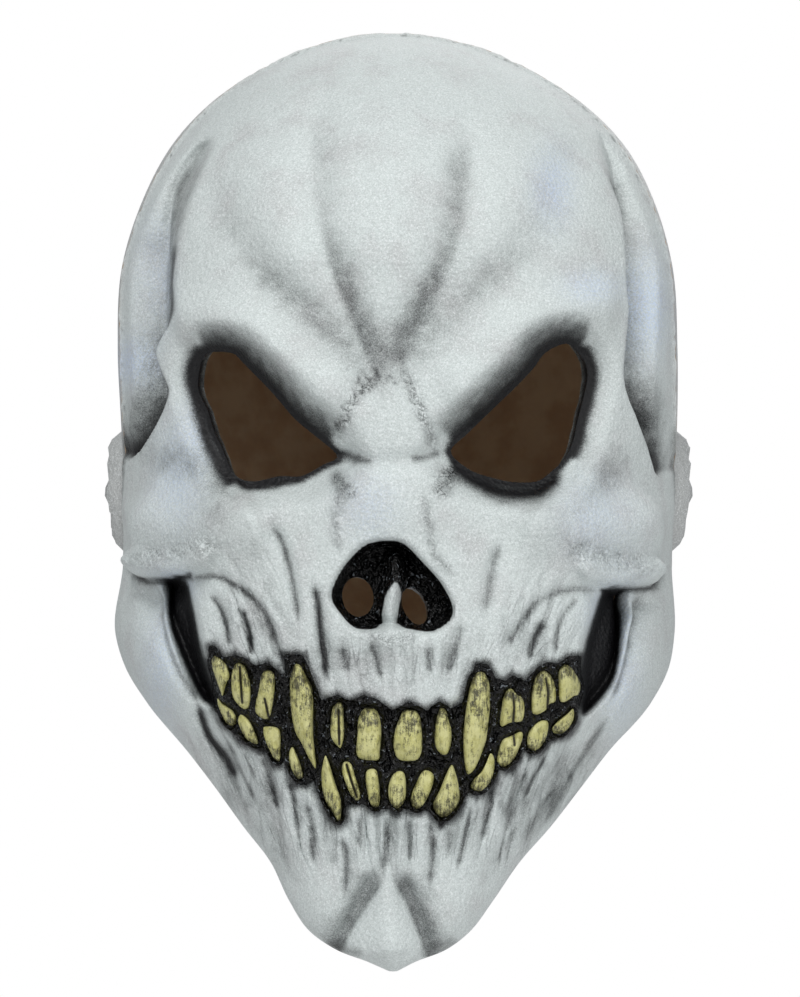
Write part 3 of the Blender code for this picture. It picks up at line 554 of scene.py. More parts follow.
# Finer folds of the outside alone, and the airbrushed tone
FINE_STROKES = (
    # airbrush along the forehead grooves
    Stroke(((-17.8, 80.8), (-19.2, 68.8), (-19.0, 54.8), (-15.8, 39.2), (-10.8, 26.8), (-5.8, 15.8),
        (-3.0, 4.2)), tone=0.24, spread=6.0, fade=0.3, left=1.3, right=0.3),
    Stroke(((-17.8, 50.8), (-14.8, 37.8), (-10.2, 25.8), (-5.5, 14.8), (-2.8, 4.2)), tone=0.38,
        spread=3.4, fade=0.5, left=1.5, right=0.4),
    Stroke(((18.8, 74.8), (17.5, 63.8), (16.5, 51.8), (13.5, 39.8), (8.2, 28.8), (2.5, 17.8),
        (-1.0, 5.2)), tone=0.40, spread=4.4, fade=0.3, left=0.7, right=1.3),
    Stroke(((14.8, 44.8), (9.2, 31.2), (3.2, 19.2), (-0.5, 7.2)), tone=0.26, spread=3.2, fade=0.5),
    Stroke(((-45.8, 62.5), (-42.0, 48.8), (-34.8, 38.5), (-24.8, 29.0), (-15.8, 21.0), (-8.2, 12.2),
        (-4.0, 2.8)), tone=0.26, spread=6.4, fade=0.3),
    Stroke(((-39.2, 43.8), (-31.8, 35.8), (-21.8, 26.8), (-12.2, 17.8), (-6.2, 8.8)), tone=0.24,
        spread=4.0, fade=0.5),
    Stroke(((44.8, 64.8), (41.0, 50.2), (32.2, 39.8), (22.8, 32.5), (13.8, 24.8), (6.8, 15.8),
        (1.8, 4.8)), tone=0.24, spread=6.6, fade=0.3),
    Stroke(((36.8, 43.8), (26.8, 35.8), (16.8, 27.8), (8.8, 19.2), (3.2, 9.8)), tone=0.16, spread=4.2,
        fade=0.5),
    # soft shading above the upper lids
    Stroke(((-48.5, 15.8), (-44.5, 17.2), (-40.5, 16.4), (-37.0, 13.8), (-30.0, 6.6), (-24.3, 0.4),
        (-19.2, -4.2), (-14.8, -8.4)), tone=0.86, spread=5.6, fade=0.12, right=0.4),
    Stroke(((48.5, 16.8), (45.0, 18.4), (41.5, 18.6), (37.2, 16.0), (34.2, 12.2), (29.8, 7.6),
        (24.6, 2.6), (17.8, -4.2), (14.4, -8.0)), tone=0.86, spread=6.2, fade=0.12, left=0.4),
    # black paint beside and below the eyes
    Stroke(((-46.5, 17.2), (-50.0, 13.5), (-50.4, 9.0), (-48.4, 1.0), (-46.8, -5.0), (-44.6, -10.0),
        (-42.0, -14.8), (-39.5, -17.6)), tone=0.96, spread=2.3, fade=0.1),
    Stroke(((-40.5, -16.8), (-34.0, -18.0), (-27.0, -16.8), (-20.5, -15.0)), tone=0.9, spread=1.3),
    Stroke(((46.5, 18.0), (49.4, 13.5), (50.0, 9.5), (49.4, 5.5), (47.4, -2.0), (46.4, -7.0),
        (44.0, -11.8)), tone=0.92, spread=1.9, fade=0.1),
    Stroke(((14.0, -10.5), (18.5, -14.8), (24.0, -18.2), (30.0, -19.6), (36.5, -18.8), (43.0, -13.5)),
        tone=0.97, spread=2.7, fade=0.15),
    Stroke(((-14.4, -10.0), (-10.5, -11.0), (-7.0, -12.5)), tone=0.5, spread=1.6, fade=0.5),
    Stroke(((-15.8, -13.2), (-13.0, -17.8), (-11.5, -23.2)), tone=0.42, spread=2.8, fade=0.4),
    Stroke(((15.8, -12.8), (13.2, -16.8), (12.0, -21.8)), tone=0.4, spread=2.6, fade=0.4),
    # creases of the bridge
    Stroke(((-13.8, -8.8), (-9.2, -10.8), (-4.2, -12.0)), width=1.4, rise=-0.8, tone=0.55, spread=1.5,
        fade=0.25),
    Stroke(((12.2, -8.8), (8.8, -10.5), (3.8, -11.0)), width=1.4, rise=-0.8, tone=0.55, spread=1.5,
        fade=0.25),
    # crisp outer edges of the face plate, dark beyond them
    Stroke(((-45.0, 68.2), (-50.5, 56.5), (-53.5, 47.5), (-54.8, 40.0)), width=2.6, rise=-1.2, tone=0.28,
        spread=4.4, fade=0.5, left=0.3, right=1.2),
    Stroke(((-54.0, 44.8), (-55.5, 33.8), (-55.2, 25.8), (-58.2, 20.2)), width=3.0, rise=-1.6, tone=0.66,
        spread=3.2, fade=0.2, left=0.25, right=1.2),
    Stroke(((-55.2, 26.2), (-59.8, 17.8), (-60.2, 15.0), (-58.0, 9.2), (-56.8, 6.0), (-57.8, 2.5),
        (-59.8, -1.5), (-62.0, -4.8), (-64.8, -8.2), (-66.8, -11.8)), width=3.0, rise=-1.8, tone=0.88,
        spread=4.2, fade=0.1, left=0.2, right=1.3),
    Stroke(((53.2, 60.8), (56.5, 55.0), (58.0, 50.2), (58.8, 44.5), (59.0, 37.2)), width=2.6, rise=-1.2,
        tone=0.5, spread=3.0, fade=0.3, left=1.2, right=0.3),
    Stroke(((59.0, 40.8), (59.5, 30.0), (60.2, 22.5), (59.5, 15.8), (58.2, 10.0)), width=3.0, rise=-1.6,
        tone=0.76, spread=3.2, fade=0.2, left=1.2, right=0.25),
    Stroke(((58.2, 11.8), (60.0, 3.8), (62.8, -1.0), (63.5, -4.2), (65.0, -9.2), (67.0, -16.2)),
        width=3.0, rise=-1.8, tone=0.85, spread=3.6, fade=0.1, left=1.3, right=0.2),
    # undercut edges of the cheekbones
    Stroke(((-66.2, -35.2), (-63.8, -40.5), (-58.2, -41.2), (-53.8, -40.5), (-49.8, -39.5)), width=1.8,
        rise=-1.4, tone=0.8, spread=2.2, fade=0.1, left=0.3, right=1.1),
    Stroke(((67.0, -36.2), (65.5, -42.2), (60.2, -43.2), (54.8, -43.2), (51.2, -44.2)), width=1.8,
        rise=-1.4, tone=0.8, spread=2.2, fade=0.1, left=1.1, right=0.3),
    # lips of the cheekbones
    Stroke(((-64.0, -34.0), (-60.0, -38.0), (-52.0, -38.0), (-45.0, -35.5)), 2.0, 1.2),
    Stroke(((65.5, -35.5), (61.0, -40.0), (53.0, -40.5), (46.0, -38.5)), 2.0, 1.2),
    # cheek folds on the left
    Stroke(((-51.8, -41.2), (-44.8, -40.2), (-37.8, -43.5), (-32.8, -48.2), (-29.2, -56.2),
        (-27.2, -62.2)), width=1.44, rise=-1.6, tone=0.59, spread=1.25, fade=0.12, left=0.8, right=1.3),
    Stroke(((-46.0, -44.8), (-43.0, -49.0), (-41.5, -54.2), (-41.2, -57.8)), width=1.27, rise=-1.3,
        tone=0.63, spread=1.01, fade=0.2, left=1.4, right=0.7),
    Stroke(((-38.2, -47.8), (-36.2, -52.8), (-35.5, -57.2), (-35.8, -60.2)), width=1.36, rise=-1.4,
        tone=0.76, spread=1.09, fade=0.2),
    Stroke(((-31.2, -26.8), (-27.8, -31.5), (-25.5, -39.2), (-24.0, -47.2), (-23.5, -53.2)), width=1.53,
        rise=-1.6, tone=0.59, spread=1.33, fade=0.3, left=0.8, right=1.1),
    Stroke(((-20.0, -41.8), (-18.8, -47.2), (-18.2, -53.2), (-17.2, -60.2), (-16.5, -67.2)), width=1.70,
        rise=-1.8, tone=0.82, spread=1.48, fade=0.22, left=1.1),
    Stroke(((-13.2, -57.8), (-11.8, -60.8), (-11.8, -65.2)), width=1.70, rise=-1.1, tone=0.47,
        spread=1.87, fade=0.35),
    Stroke(((-6.0, -56.2), (-3.8, -61.2), (-2.8, -66.8)), width=1.53, rise=-1.0, tone=0.49, spread=1.48,
        fade=0.3),
    # cheek folds on the right
    Stroke(((26.8, -31.2), (25.0, -37.8), (23.8, -44.2), (22.8, -50.8)), width=1.70, rise=-1.4, tone=0.47,
        spread=1.72, fade=0.3),
    Stroke(((52.0, -43.8), (45.0, -43.5), (38.2, -45.5), (33.8, -49.5), (30.2, -54.8), (28.8, -58.2)),
        width=1.61, rise=-1.6, tone=0.47, spread=1.48, fade=0.15, left=1.3, right=0.8),
    Stroke(((46.8, -45.5), (43.2, -49.2), (41.0, -54.8), (40.8, -60.8)), width=1.02, rise=-1.1, tone=0.52,
        spread=0.86, fade=0.2),
    Stroke(((38.0, -50.8), (35.2, -56.2), (33.8, -61.8)), width=1.87, rise=-1.5, tone=0.66, spread=1.79,
        fade=0.3),
    Stroke(((17.0, -51.8), (15.8, -58.2), (13.5, -65.2)), width=1.70, rise=-1.2, tone=0.40, spread=1.40,
        fade=0.3),
    Stroke(((9.2, -57.2), (8.8, -65.2)), width=1.70, rise=-1.0, tone=0.43, spread=1.87, fade=0.35),
    # grooves outside the cheek hollows
    Stroke(((-61.2, -42.2), (-58.2, -53.0), (-54.2, -62.8), (-48.2, -72.8)), width=1.7, rise=-1.3,
        tone=0.45, spread=1.6, fade=0.15),
    Stroke(((-49.2, -71.2), (-46.0, -80.2), (-41.8, -85.8), (-38.8, -91.2)), width=1.9, rise=-1.7,
        tone=0.82, spread=1.8, fade=0.2),
    Stroke(((64.5, -44.2), (62.2, -53.2), (60.2, -60.2), (54.2, -72.2)), width=1.7, rise=-1.3, tone=0.5,
        spread=1.7, fade=0.15),
    Stroke(((54.8, -74.2), (50.0, -81.2), (44.8, -89.8), (40.8, -97.2), (36.2, -104.2)), width=1.8,
        rise=-1.5, tone=0.5, spread=1.7, fade=0.25),
    Stroke(((44.2, -80.8), (40.2, -93.2), (36.2, -100.2), (31.2, -108.2)), width=2.0, rise=-1.2,
        tone=0.34, spread=2.2, fade=0.3),
    # folds below the mouth
    Stroke(((-42.0, -80.2), (-39.2, -86.2), (-37.2, -90.8), (-33.2, -98.5)), width=1.41, rise=-1.3,
        tone=0.48, spread=1.08, fade=0.3),
    Stroke(((-37.5, -83.2), (-34.0, -92.2)), width=1.23, rise=-1.0, tone=0.39, spread=0.94, fade=0.35),
    Stroke(((-33.0, -85.2), (-31.0, -90.2), (-28.3, -100.2)), width=1.41, rise=-1.4, tone=0.57,
        spread=1.08, fade=0.28),
    Stroke(((-26.5, -91.2), (-24.8, -95.8), (-23.8, -106.2)), width=1.41, rise=-1.4, tone=0.57,
        spread=1.08, fade=0.28),
    Stroke(((-21.8, -96.8), (-20.2, -103.2), (-19.8, -113.8)), width=1.76, rise=-1.4, tone=0.53,
        spread=1.58, fade=0.3),
    Stroke(((-15.8, -101.8), (-14.8, -106.8), (-14.4, -114.8)), width=1.76, rise=-0.8, tone=0.29,
        spread=1.73, fade=0.35),
    Stroke(((-12.8, -105.8), (-11.5, -111.2), (-12.2, -121.2)), width=1.67, rise=-1.3, tone=0.53,
        spread=1.44, fade=0.3),
    Stroke(((-8.2, -99.2), (-8.4, -109.2)), width=1.41, rise=-0.9, tone=0.39, spread=1.22, fade=0.35),
    Stroke(((-1.8, -100.2), (-1.5, -105.8), (-2.9, -115.8)), width=1.67, rise=-1.1, tone=0.45,
        spread=1.44, fade=0.3),
    Stroke(((4.2, -100.8), (4.6, -112.2)), width=1.50, rise=-1.0, tone=0.39, spread=1.30, fade=0.3),
    Stroke(((9.2, -101.2), (10.0, -107.8), (9.0, -119.2)), width=1.67, rise=-1.3, tone=0.50, spread=1.37,
        fade=0.28),
    Stroke(((14.5, -102.8), (13.5, -112.2)), width=1.50, rise=-0.8, tone=0.32, spread=1.44, fade=0.35),
    Stroke(((19.8, -97.2), (18.0, -105.2), (15.7, -114.8)), width=1.67, rise=-1.3, tone=0.53, spread=1.30,
        fade=0.28),
    Stroke(((25.0, -91.8), (24.0, -99.2), (21.7, -107.8)), width=1.58, rise=-1.2, tone=0.44, spread=1.30,
        fade=0.3),
    Stroke(((29.8, -87.2), (30.5, -92.8), (27.6, -103.2)), width=1.67, rise=-1.2, tone=0.39, spread=1.44,
        fade=0.3),
    Stroke(((38.5, -84.8), (36.0, -89.2), (32.1, -97.2)), width=1.23, rise=-1.2, tone=0.57, spread=0.86,
        fade=0.3),
    Stroke(((34.2, -88.2), (31.8, -95.2), (27.4, -105.8)), width=1.67, rise=-1.0, tone=0.32, spread=1.44,
        fade=0.3),
    # long soft folds from the mouth down the jaw
    Stroke(((-45.5, -78.0), (-41.0, -90.0), (-35.0, -101.0), (-29.5, -113.0)), width=2.4, rise=-0.9,
        tone=0.2, spread=2.6, fade=0.4),
    Stroke(((-36.0, -90.0), (-31.5, -101.0), (-26.5, -112.0), (-22.5, -121.0)), width=2.2, rise=-0.9,
        tone=0.18, spread=2.4, fade=0.4),
    Stroke(((47.5, -80.0), (42.0, -92.0), (35.0, -104.0), (29.0, -115.0)), width=2.4, rise=-0.9, tone=0.2,
        spread=2.6, fade=0.4),
    Stroke(((36.0, -94.0), (30.5, -104.0), (25.0, -113.0), (21.5, -121.0)), width=2.2, rise=-0.9,
        tone=0.18, spread=2.4, fade=0.4),
    # shading of the chin
    Stroke(((-1.2, -112.5), (-3.6, -117.5), (-7.0, -122.5), (-10.4, -127.8), (-13.2, -133.4),
        (-15.2, -139.0)), tone=0.58, spread=2.2, fade=0.4, left=0.45, right=2.8),
    Stroke(((-0.8, -112.5), (1.4, -117.5), (4.2, -122.8), (6.6, -128.8), (8.6, -134.2), (10.2, -139.0)),
        tone=0.58, spread=2.2, fade=0.4, left=2.8, right=0.45),
    Stroke(((-17.8, -132.2), (-12.8, -134.0), (-6.8, -135.0)), tone=0.45, spread=2.2, fade=0.3),
    Stroke(((17.2, -131.2), (12.2, -133.8), (5.2, -135.2)), tone=0.38, spread=2.2, fade=0.3),
    # broad smudges beside the eyes
    Stroke(((-63.0, -10.5), (-50.0, -13.5), (-35.0, -22.0)), tone=0.32, spread=4.6, fade=0.4),
    Stroke(((61.0, -7.0), (54.0, -15.0), (44.0, -27.0)), tone=0.2, spread=5.0, fade=0.4),
    # veins beside the nose
    Stroke(((-14.0, -20.2), (-14.5, -27.2), (-13.0, -34.5)), width=1.0, rise=0.6, tone=0.14, spread=1.2,
        fade=0.25),
    Stroke(((7.0, -19.2), (9.0, -27.2), (10.8, -35.0), (16.2, -40.5)), width=1.0, rise=0.6, tone=0.16,
        spread=1.2, fade=0.25),
)

# Scribbles: middle line, swing, number of turns, tone
SCRIBBLES = (
    (((-13.5, -7.0), (-12.0, -0.5), (-9.3, 5.0), (-6.5, 7.3), (-3.5, 9.3)), 1.7, 13, 0.34),
    (((-11.0, 7.5), (-6.0, 9.0), (-2.0, 9.5), (2.5, 9.0)), 2.2, 9, 0.42),
    (((1.8, 11.5), (6.0, 3.0), (8.8, -3.3), (10.3, -9.0)), 1.4, 11, 0.28),
    (((-13.5, -12.0), (-13.2, -20.3), (-14.3, -27.3), (-13.0, -35.0)), 1.2, 9, 0.12),
    (((8.0, -17.0), (9.0, -27.3), (10.5, -35.0), (16.3, -40.5)), 1.2, 11, 0.12),
    (((-63.0, -38.5), (-58.0, -35.5), (-51.0, -33.5), (-41.0, -32.5)), 2.6, 13, 0.2),
    (((64.0, -39.5), (57.0, -37.5), (50.0, -35.0), (40.0, -30.5)), 2.6, 13, 0.2),
)
SCRIBBLE_STROKES = tuple(
    Stroke(zigzag(line, swing, turns), width=0.55, rise=-0.6, tone=tone, spread=0.55, fade=0.2)
    for line, swing, turns, tone in SCRIBBLES
)

# Bands of crusty scribbles on the outside
CRUSTS = (
    Stroke(((-13.5, -7.0), (-12.0, -0.5), (-9.3, 5.0), (-6.5, 7.3), (-3.5, 9.3)), 1.5, 0.3, 0.9),
    Stroke(((1.8, 13.5), (6.0, 3.0), (8.8, -3.3), (10.3, -9.0)), 1.5, 0.3, 0.8),
    Stroke(((-13.5, -12.0), (-13.2, -20.3), (-14.3, -27.3), (-13.0, -35.0)), 1.5, 0.4, 0.35),
    Stroke(((-16.0, -14.5), (-11.5, -17.5), (-9.5, -21.0)), 1.6, 0.3, 0.7),
    Stroke(((7.0, -17.0), (9.0, -27.3), (10.5, -35.0), (16.3, -40.5)), 1.5, 0.4, 0.35),
    Stroke(((15.0, -12.5), (13.0, -16.5), (11.5, -21.0)), 2.4, 0.3, 0.8),
    Stroke(((-62.0, -37.5), (-58.0, -35.0), (-52.0, -33.0), (-41.0, -32.5)), 3.4, 0.3, 0.5),
    Stroke(((63.0, -38.5), (57.0, -36.5), (50.0, -35.0), (42.0, -33.5)), 3.2, 0.3, 0.5),
    Stroke(((-6.5, -54.5), (-0.5, -56.5), (6.5, -55.0)), 1.8, 0.4, 0.5),
)

SWELLS = (
    Swell(-1.0, -2.0, 12.0, 11.0, 3.2),
    Swell(-1.0, -22.0, 14.0, 11.0, 4.0),
    Swell(-0.8, -57.5, 5.0, 3.5, 2.0),
    Swell(-46.0, -6.0, 10.0, 14.0, 1.5),
    Swell(-18.0, -125.0, 6.0, 8.0, 2.2),
    Swell(14.5, -126.0, 6.0, 8.0, 2.2),
    Swell(-0.8, -133.0, 6.0, 6.0, 1.6),
    Swell(-36.0, -50.0, 9.0, 12.0, 1.5),
    Swell(36.0, -52.0, 9.0, 12.0, 1.5),
    # smudges of airbrushed tone on the cheekbones, and a dusting of the lips and the jaw that is partly
    # airbrush and partly painted shade, greyer where less light falls
    Swell(-54.0, -9.5, 7.0, 4.0, 0.0, 0.2),
    Swell(-63.5, -1.0, 4.0, 9.0, 0.0, 0.5),
    Swell(65.0, 1.0, 3.5, 9.0, 0.0, 0.45),
    Swell(-45.5, -25.0, 6.0, 5.0, 0.0, 0.26),
    Swell(-37.0, -35.0, 6.0, 4.0, 0.0, 0.16),
    Swell(53.3, -13.0, 5.0, 6.0, 0.0, 0.28),
    Swell(42.0, -28.0, 8.0, 6.0, 0.0, 0.16),
    Swell(-13.0, -61.0, 9.0, 8.0, 0.0, 0.15),
    Swell(12.0, -62.0, 9.0, 8.0, 0.0, 0.12),
    Swell(-36.0, -54.0, 10.0, 8.0, 0.0, 0.14),
    Swell(36.0, -56.0, 10.0, 8.0, 0.0, 0.14),
    Swell(0.0, -104.0, 26.0, 8.0, 0.0, 0.12),
    Swell(-32.0, -94.0, 9.0, 8.0, 0.0, 0.18),
    Swell(32.0, -92.0, 9.0, 8.0, 0.0, 0.16),
    Swell(-1.0, 10.0, 7.0, 9.0, 0.0, 0.12),
    # broad faint tone on the cheeks, beside the nose and mouth, over the middle of the face and the chin:
    # painted shade that greys them where less light falls
    Swell(-44.0, -24.0, 17.0, 13.0, 0.0, 0.09),
    Swell(44.0, -26.0, 16.0, 13.0, 0.0, 0.07),
    Swell(-22.0, -45.0, 12.0, 16.0, 0.0, 0.08),
    Swell(20.0, -45.0, 12.0, 16.0, 0.0, 0.06),
    Swell(0.0, -122.0, 24.0, 12.0, 0.0, 0.1),
    Swell(0.0, -22.0, 20.0, 22.0, 0.0, 0.03),
    Swell(-26.0, -132.0, 9.0, 7.0, 0.0, 0.12),
)

# Spots of bluish sheen: a painted reflection, light-blue glints laid into the colour
SHEENS = (
    Swell(-60.0, 33.0, 4.0, 13.0, 0.0, 1.0),
    Swell(-66.0, 13.0, 4.0, 6.0, 0.0, 1.0),
    Swell(64.5, 27.0, 4.0, 12.0, 0.0, 1.0),
    Swell(40.0, 57.0, 5.0, 9.0, 0.0, 0.8),
    Swell(50.0, 32.0, 7.0, 4.0, 0.0, 0.7),
    Swell(-53.5, -14.0, 6.0, 13.0, 0.0, 0.7),
    Swell(-47.0, -2.0, 4.0, 9.0, 0.0, 0.6),
    Swell(-6.0, -23.0, 7.0, 8.0, 0.0, 0.4),
    Swell(50.0, -25.0, 8.0, 10.0, 0.0, 0.5),
    Swell(-58.0, -62.0, 5.0, 18.0, 0.0, 0.6),
    Swell(57.0, -60.0, 5.0, 18.0, 0.0, 0.7),
    Swell(-54.0, -43.0, 4.0, 4.0, 0.0, 1.0),
    Swell(54.0, -50.0, 5.0, 6.0, 0.0, 0.8),
)

HOLLOWS = (
    Hollow(NASAL_CAVITY, 9.5, 2.6, 1.0, 1.2),
    Hollow(CHEEK_HOLLOW_LEFT, 13.0, 4.0, 0.98, 1.6),
    Hollow(CHEEK_HOLLOW_RIGHT, 13.0, 4.0, 0.98, 1.6),
    Hollow(TEMPLE_LEFT, 7.5, 3.2, 0.5, 6.0),
    Hollow(TEMPLE_RIGHT, 7.5, 3.2, 0.5, 6.0),
    Hollow(MOUTH_BAND, 2.2, 2.2),
)
SEPTUM = Stroke(((0.0, -33.0), (0.8, -40.0), (-0.4, -46.0), (-0.8, -54.0)), 2.4, 7.0)
SEPTUM_FOOT = Swell(-0.8, -54.5, 4.4, 3.4)
SEPTUM_PAINT = Stroke(((0.4, -38.5), (0.6, -43.0), (-0.5, -48.0), (-1.0, -54.0), (-1.0, -66.0)), fade=0.6)


# Black gum behind the teeth: across, height
GUM = (
    (-46.2, -57.8), (-44.8, -57.5), (-42.2, -60.8), (-39.5, -60.0), (-37.0, -60.8), (-34.5, -62.8),
    (-31.0, -61.8), (-28.8, -65.0), (-27.0, -64.5), (-27.2, -59.8), (-24.2, -59.8), (-22.2, -60.2),
    (-19.2, -68.0), (-18.0, -71.5), (-13.8, -69.8), (-11.2, -71.5), (-7.0, -70.0), (-3.2, -71.5),
    (-0.2, -74.0), (4.2, -71.5), (8.5, -74.0), (11.5, -71.5), (14.5, -73.5), (17.2, -72.0),
    (19.2, -66.5), (20.8, -62.2), (23.8, -62.2), (25.8, -66.0), (28.2, -66.5), (30.0, -65.0),
    (33.0, -66.5), (35.5, -64.0), (38.5, -61.8), (41.2, -62.2), (44.2, -60.2), (47.0, -60.2),
    (47.2, -70.5), (45.8, -76.2), (44.2, -78.8), (40.5, -81.2), (37.5, -82.2), (34.5, -84.8),
    (32.5, -83.2), (30.0, -86.8), (26.8, -88.5), (24.8, -92.0), (22.2, -94.5), (18.8, -94.5),
    (16.0, -98.5), (12.0, -102.8), (9.0, -99.0), (4.8, -98.5), (0.8, -98.5), (-5.0, -98.5),
    (-8.5, -97.0), (-11.5, -97.5), (-13.5, -101.8), (-16.0, -101.2), (-18.2, -96.0),
    (-19.8, -91.5), (-21.8, -92.5), (-24.2, -92.5), (-26.2, -86.8), (-28.2, -86.2),
    (-33.5, -83.8), (-38.0, -82.2), (-41.8, -77.8), (-44.8, -73.5),
)


@dataclass(frozen=True)
class ToothForm:
    """One tooth: its outline on the face, how proud it stands, and any slits down its front."""

    outline: Outline
    proud: float = 2.9
    slits: tuple[Outline, ...] = ()


UPPER_TEETH = (
    ToothForm(((-44.7, -60.3), (-43.0, -61.1), (-41.5, -62.9), (-40.9, -65.3), (-41.7, -67.3),
        (-42.6, -70.2), (-43.4, -68.4), (-44.5, -65.3), (-45.4, -62.0))),
    ToothForm(((-39.0, -62.0), (-37.3, -62.5), (-36.2, -65.0), (-35.6, -68.2), (-35.8, -72.2),
        (-36.9, -73.6), (-38.7, -72.5), (-40.0, -70.5), (-40.4, -67.6), (-40.2, -64.0)),
        slits=(((-38.3, -63.0), (-37.7, -72.0)),)),
    ToothForm(((-31.3, -63.7), (-29.7, -64.7), (-29.5, -67.6), (-30.0, -72.2), (-30.8, -75.4),
        (-32.1, -76.1), (-34.1, -74.8), (-34.4, -72.8), (-33.6, -68.9), (-32.8, -65.0)),
        slits=(((-32.1, -70.9), (-31.1, -75.4)),)),
    ToothForm(((-24.3, -62.2), (-23.0, -62.7), (-21.7, -65.3), (-20.3, -67.9), (-19.9, -72.8),
        (-19.9, -80.0), (-19.2, -87.9), (-20.3, -87.2), (-22.6, -82.6), (-24.6, -78.7), (-25.6, -72.2),
        (-25.8, -66.9), (-25.1, -63.7)), 4.2),
    ToothForm(((-13.8, -71.8), (-12.7, -72.2), (-12.3, -75.4), (-12.2, -80.0), (-13.0, -83.2),
        (-14.1, -82.6), (-15.4, -80.7), (-15.6, -77.4), (-15.1, -73.5)), slits=(((-13.6, -73.6),
        (-13.4, -82.4)),)),
    ToothForm(((-6.9, -73.2), (-4.3, -73.5), (-3.2, -76.1), (-2.9, -80.0), (-3.2, -83.9), (-3.5, -86.2),
        (-5.6, -86.4), (-8.3, -85.9), (-9.2, -84.3), (-8.9, -80.0), (-8.6, -75.8)), 3.4),
    ToothForm(((2.9, -73.8), (5.6, -73.8), (6.9, -76.1), (7.3, -80.0), (7.2, -83.9), (6.1, -86.2),
        (3.5, -86.6), (1.2, -85.9), (0.2, -83.3), (0.4, -79.4), (1.6, -75.8)), 3.4),
    ToothForm(((12.0, -73.2), (13.2, -73.8), (14.0, -76.7), (14.6, -78.7), (14.5, -82.0), (13.6, -84.7),
        (12.3, -84.9), (10.8, -83.3), (10.4, -80.7), (10.7, -77.1), (11.4, -74.1))),
    ToothForm(((21.5, -64.2), (23.0, -64.7), (24.1, -67.3), (24.3, -72.2), (23.8, -77.4), (23.1, -82.0),
        (20.8, -87.9), (19.1, -89.8), (18.2, -88.8), (17.6, -83.3), (17.8, -77.4), (18.9, -69.6),
        (19.9, -66.0)), 4.2),
    ToothForm(((29.3, -68.4), (31.0, -69.9), (32.4, -70.9), (32.9, -73.8), (32.3, -76.4), (30.3, -76.9),
        (29.0, -77.1), (27.4, -77.9), (26.7, -77.1), (27.0, -74.1), (27.7, -70.2)), slits=(((30.0, -69.6),
        (30.3, -73.0), (30.0, -77.2)),)),
    ToothForm(((37.5, -63.8), (39.5, -65.3), (40.6, -68.2), (40.6, -71.5), (39.1, -72.3), (38.2, -73.8),
        (36.2, -74.9), (34.8, -74.5), (34.6, -72.2), (34.9, -68.2), (35.9, -65.0)), slits=(((38.2, -65.8),
        (38.8, -69.5), (38.6, -73.2)),)),
    ToothForm(((42.7, -62.5), (44.4, -63.0), (45.7, -64.7), (46.7, -66.9), (46.5, -69.6), (44.8, -70.7),
        (42.7, -71.8), (41.6, -71.2), (41.4, -68.2), (41.3, -64.3))),
)
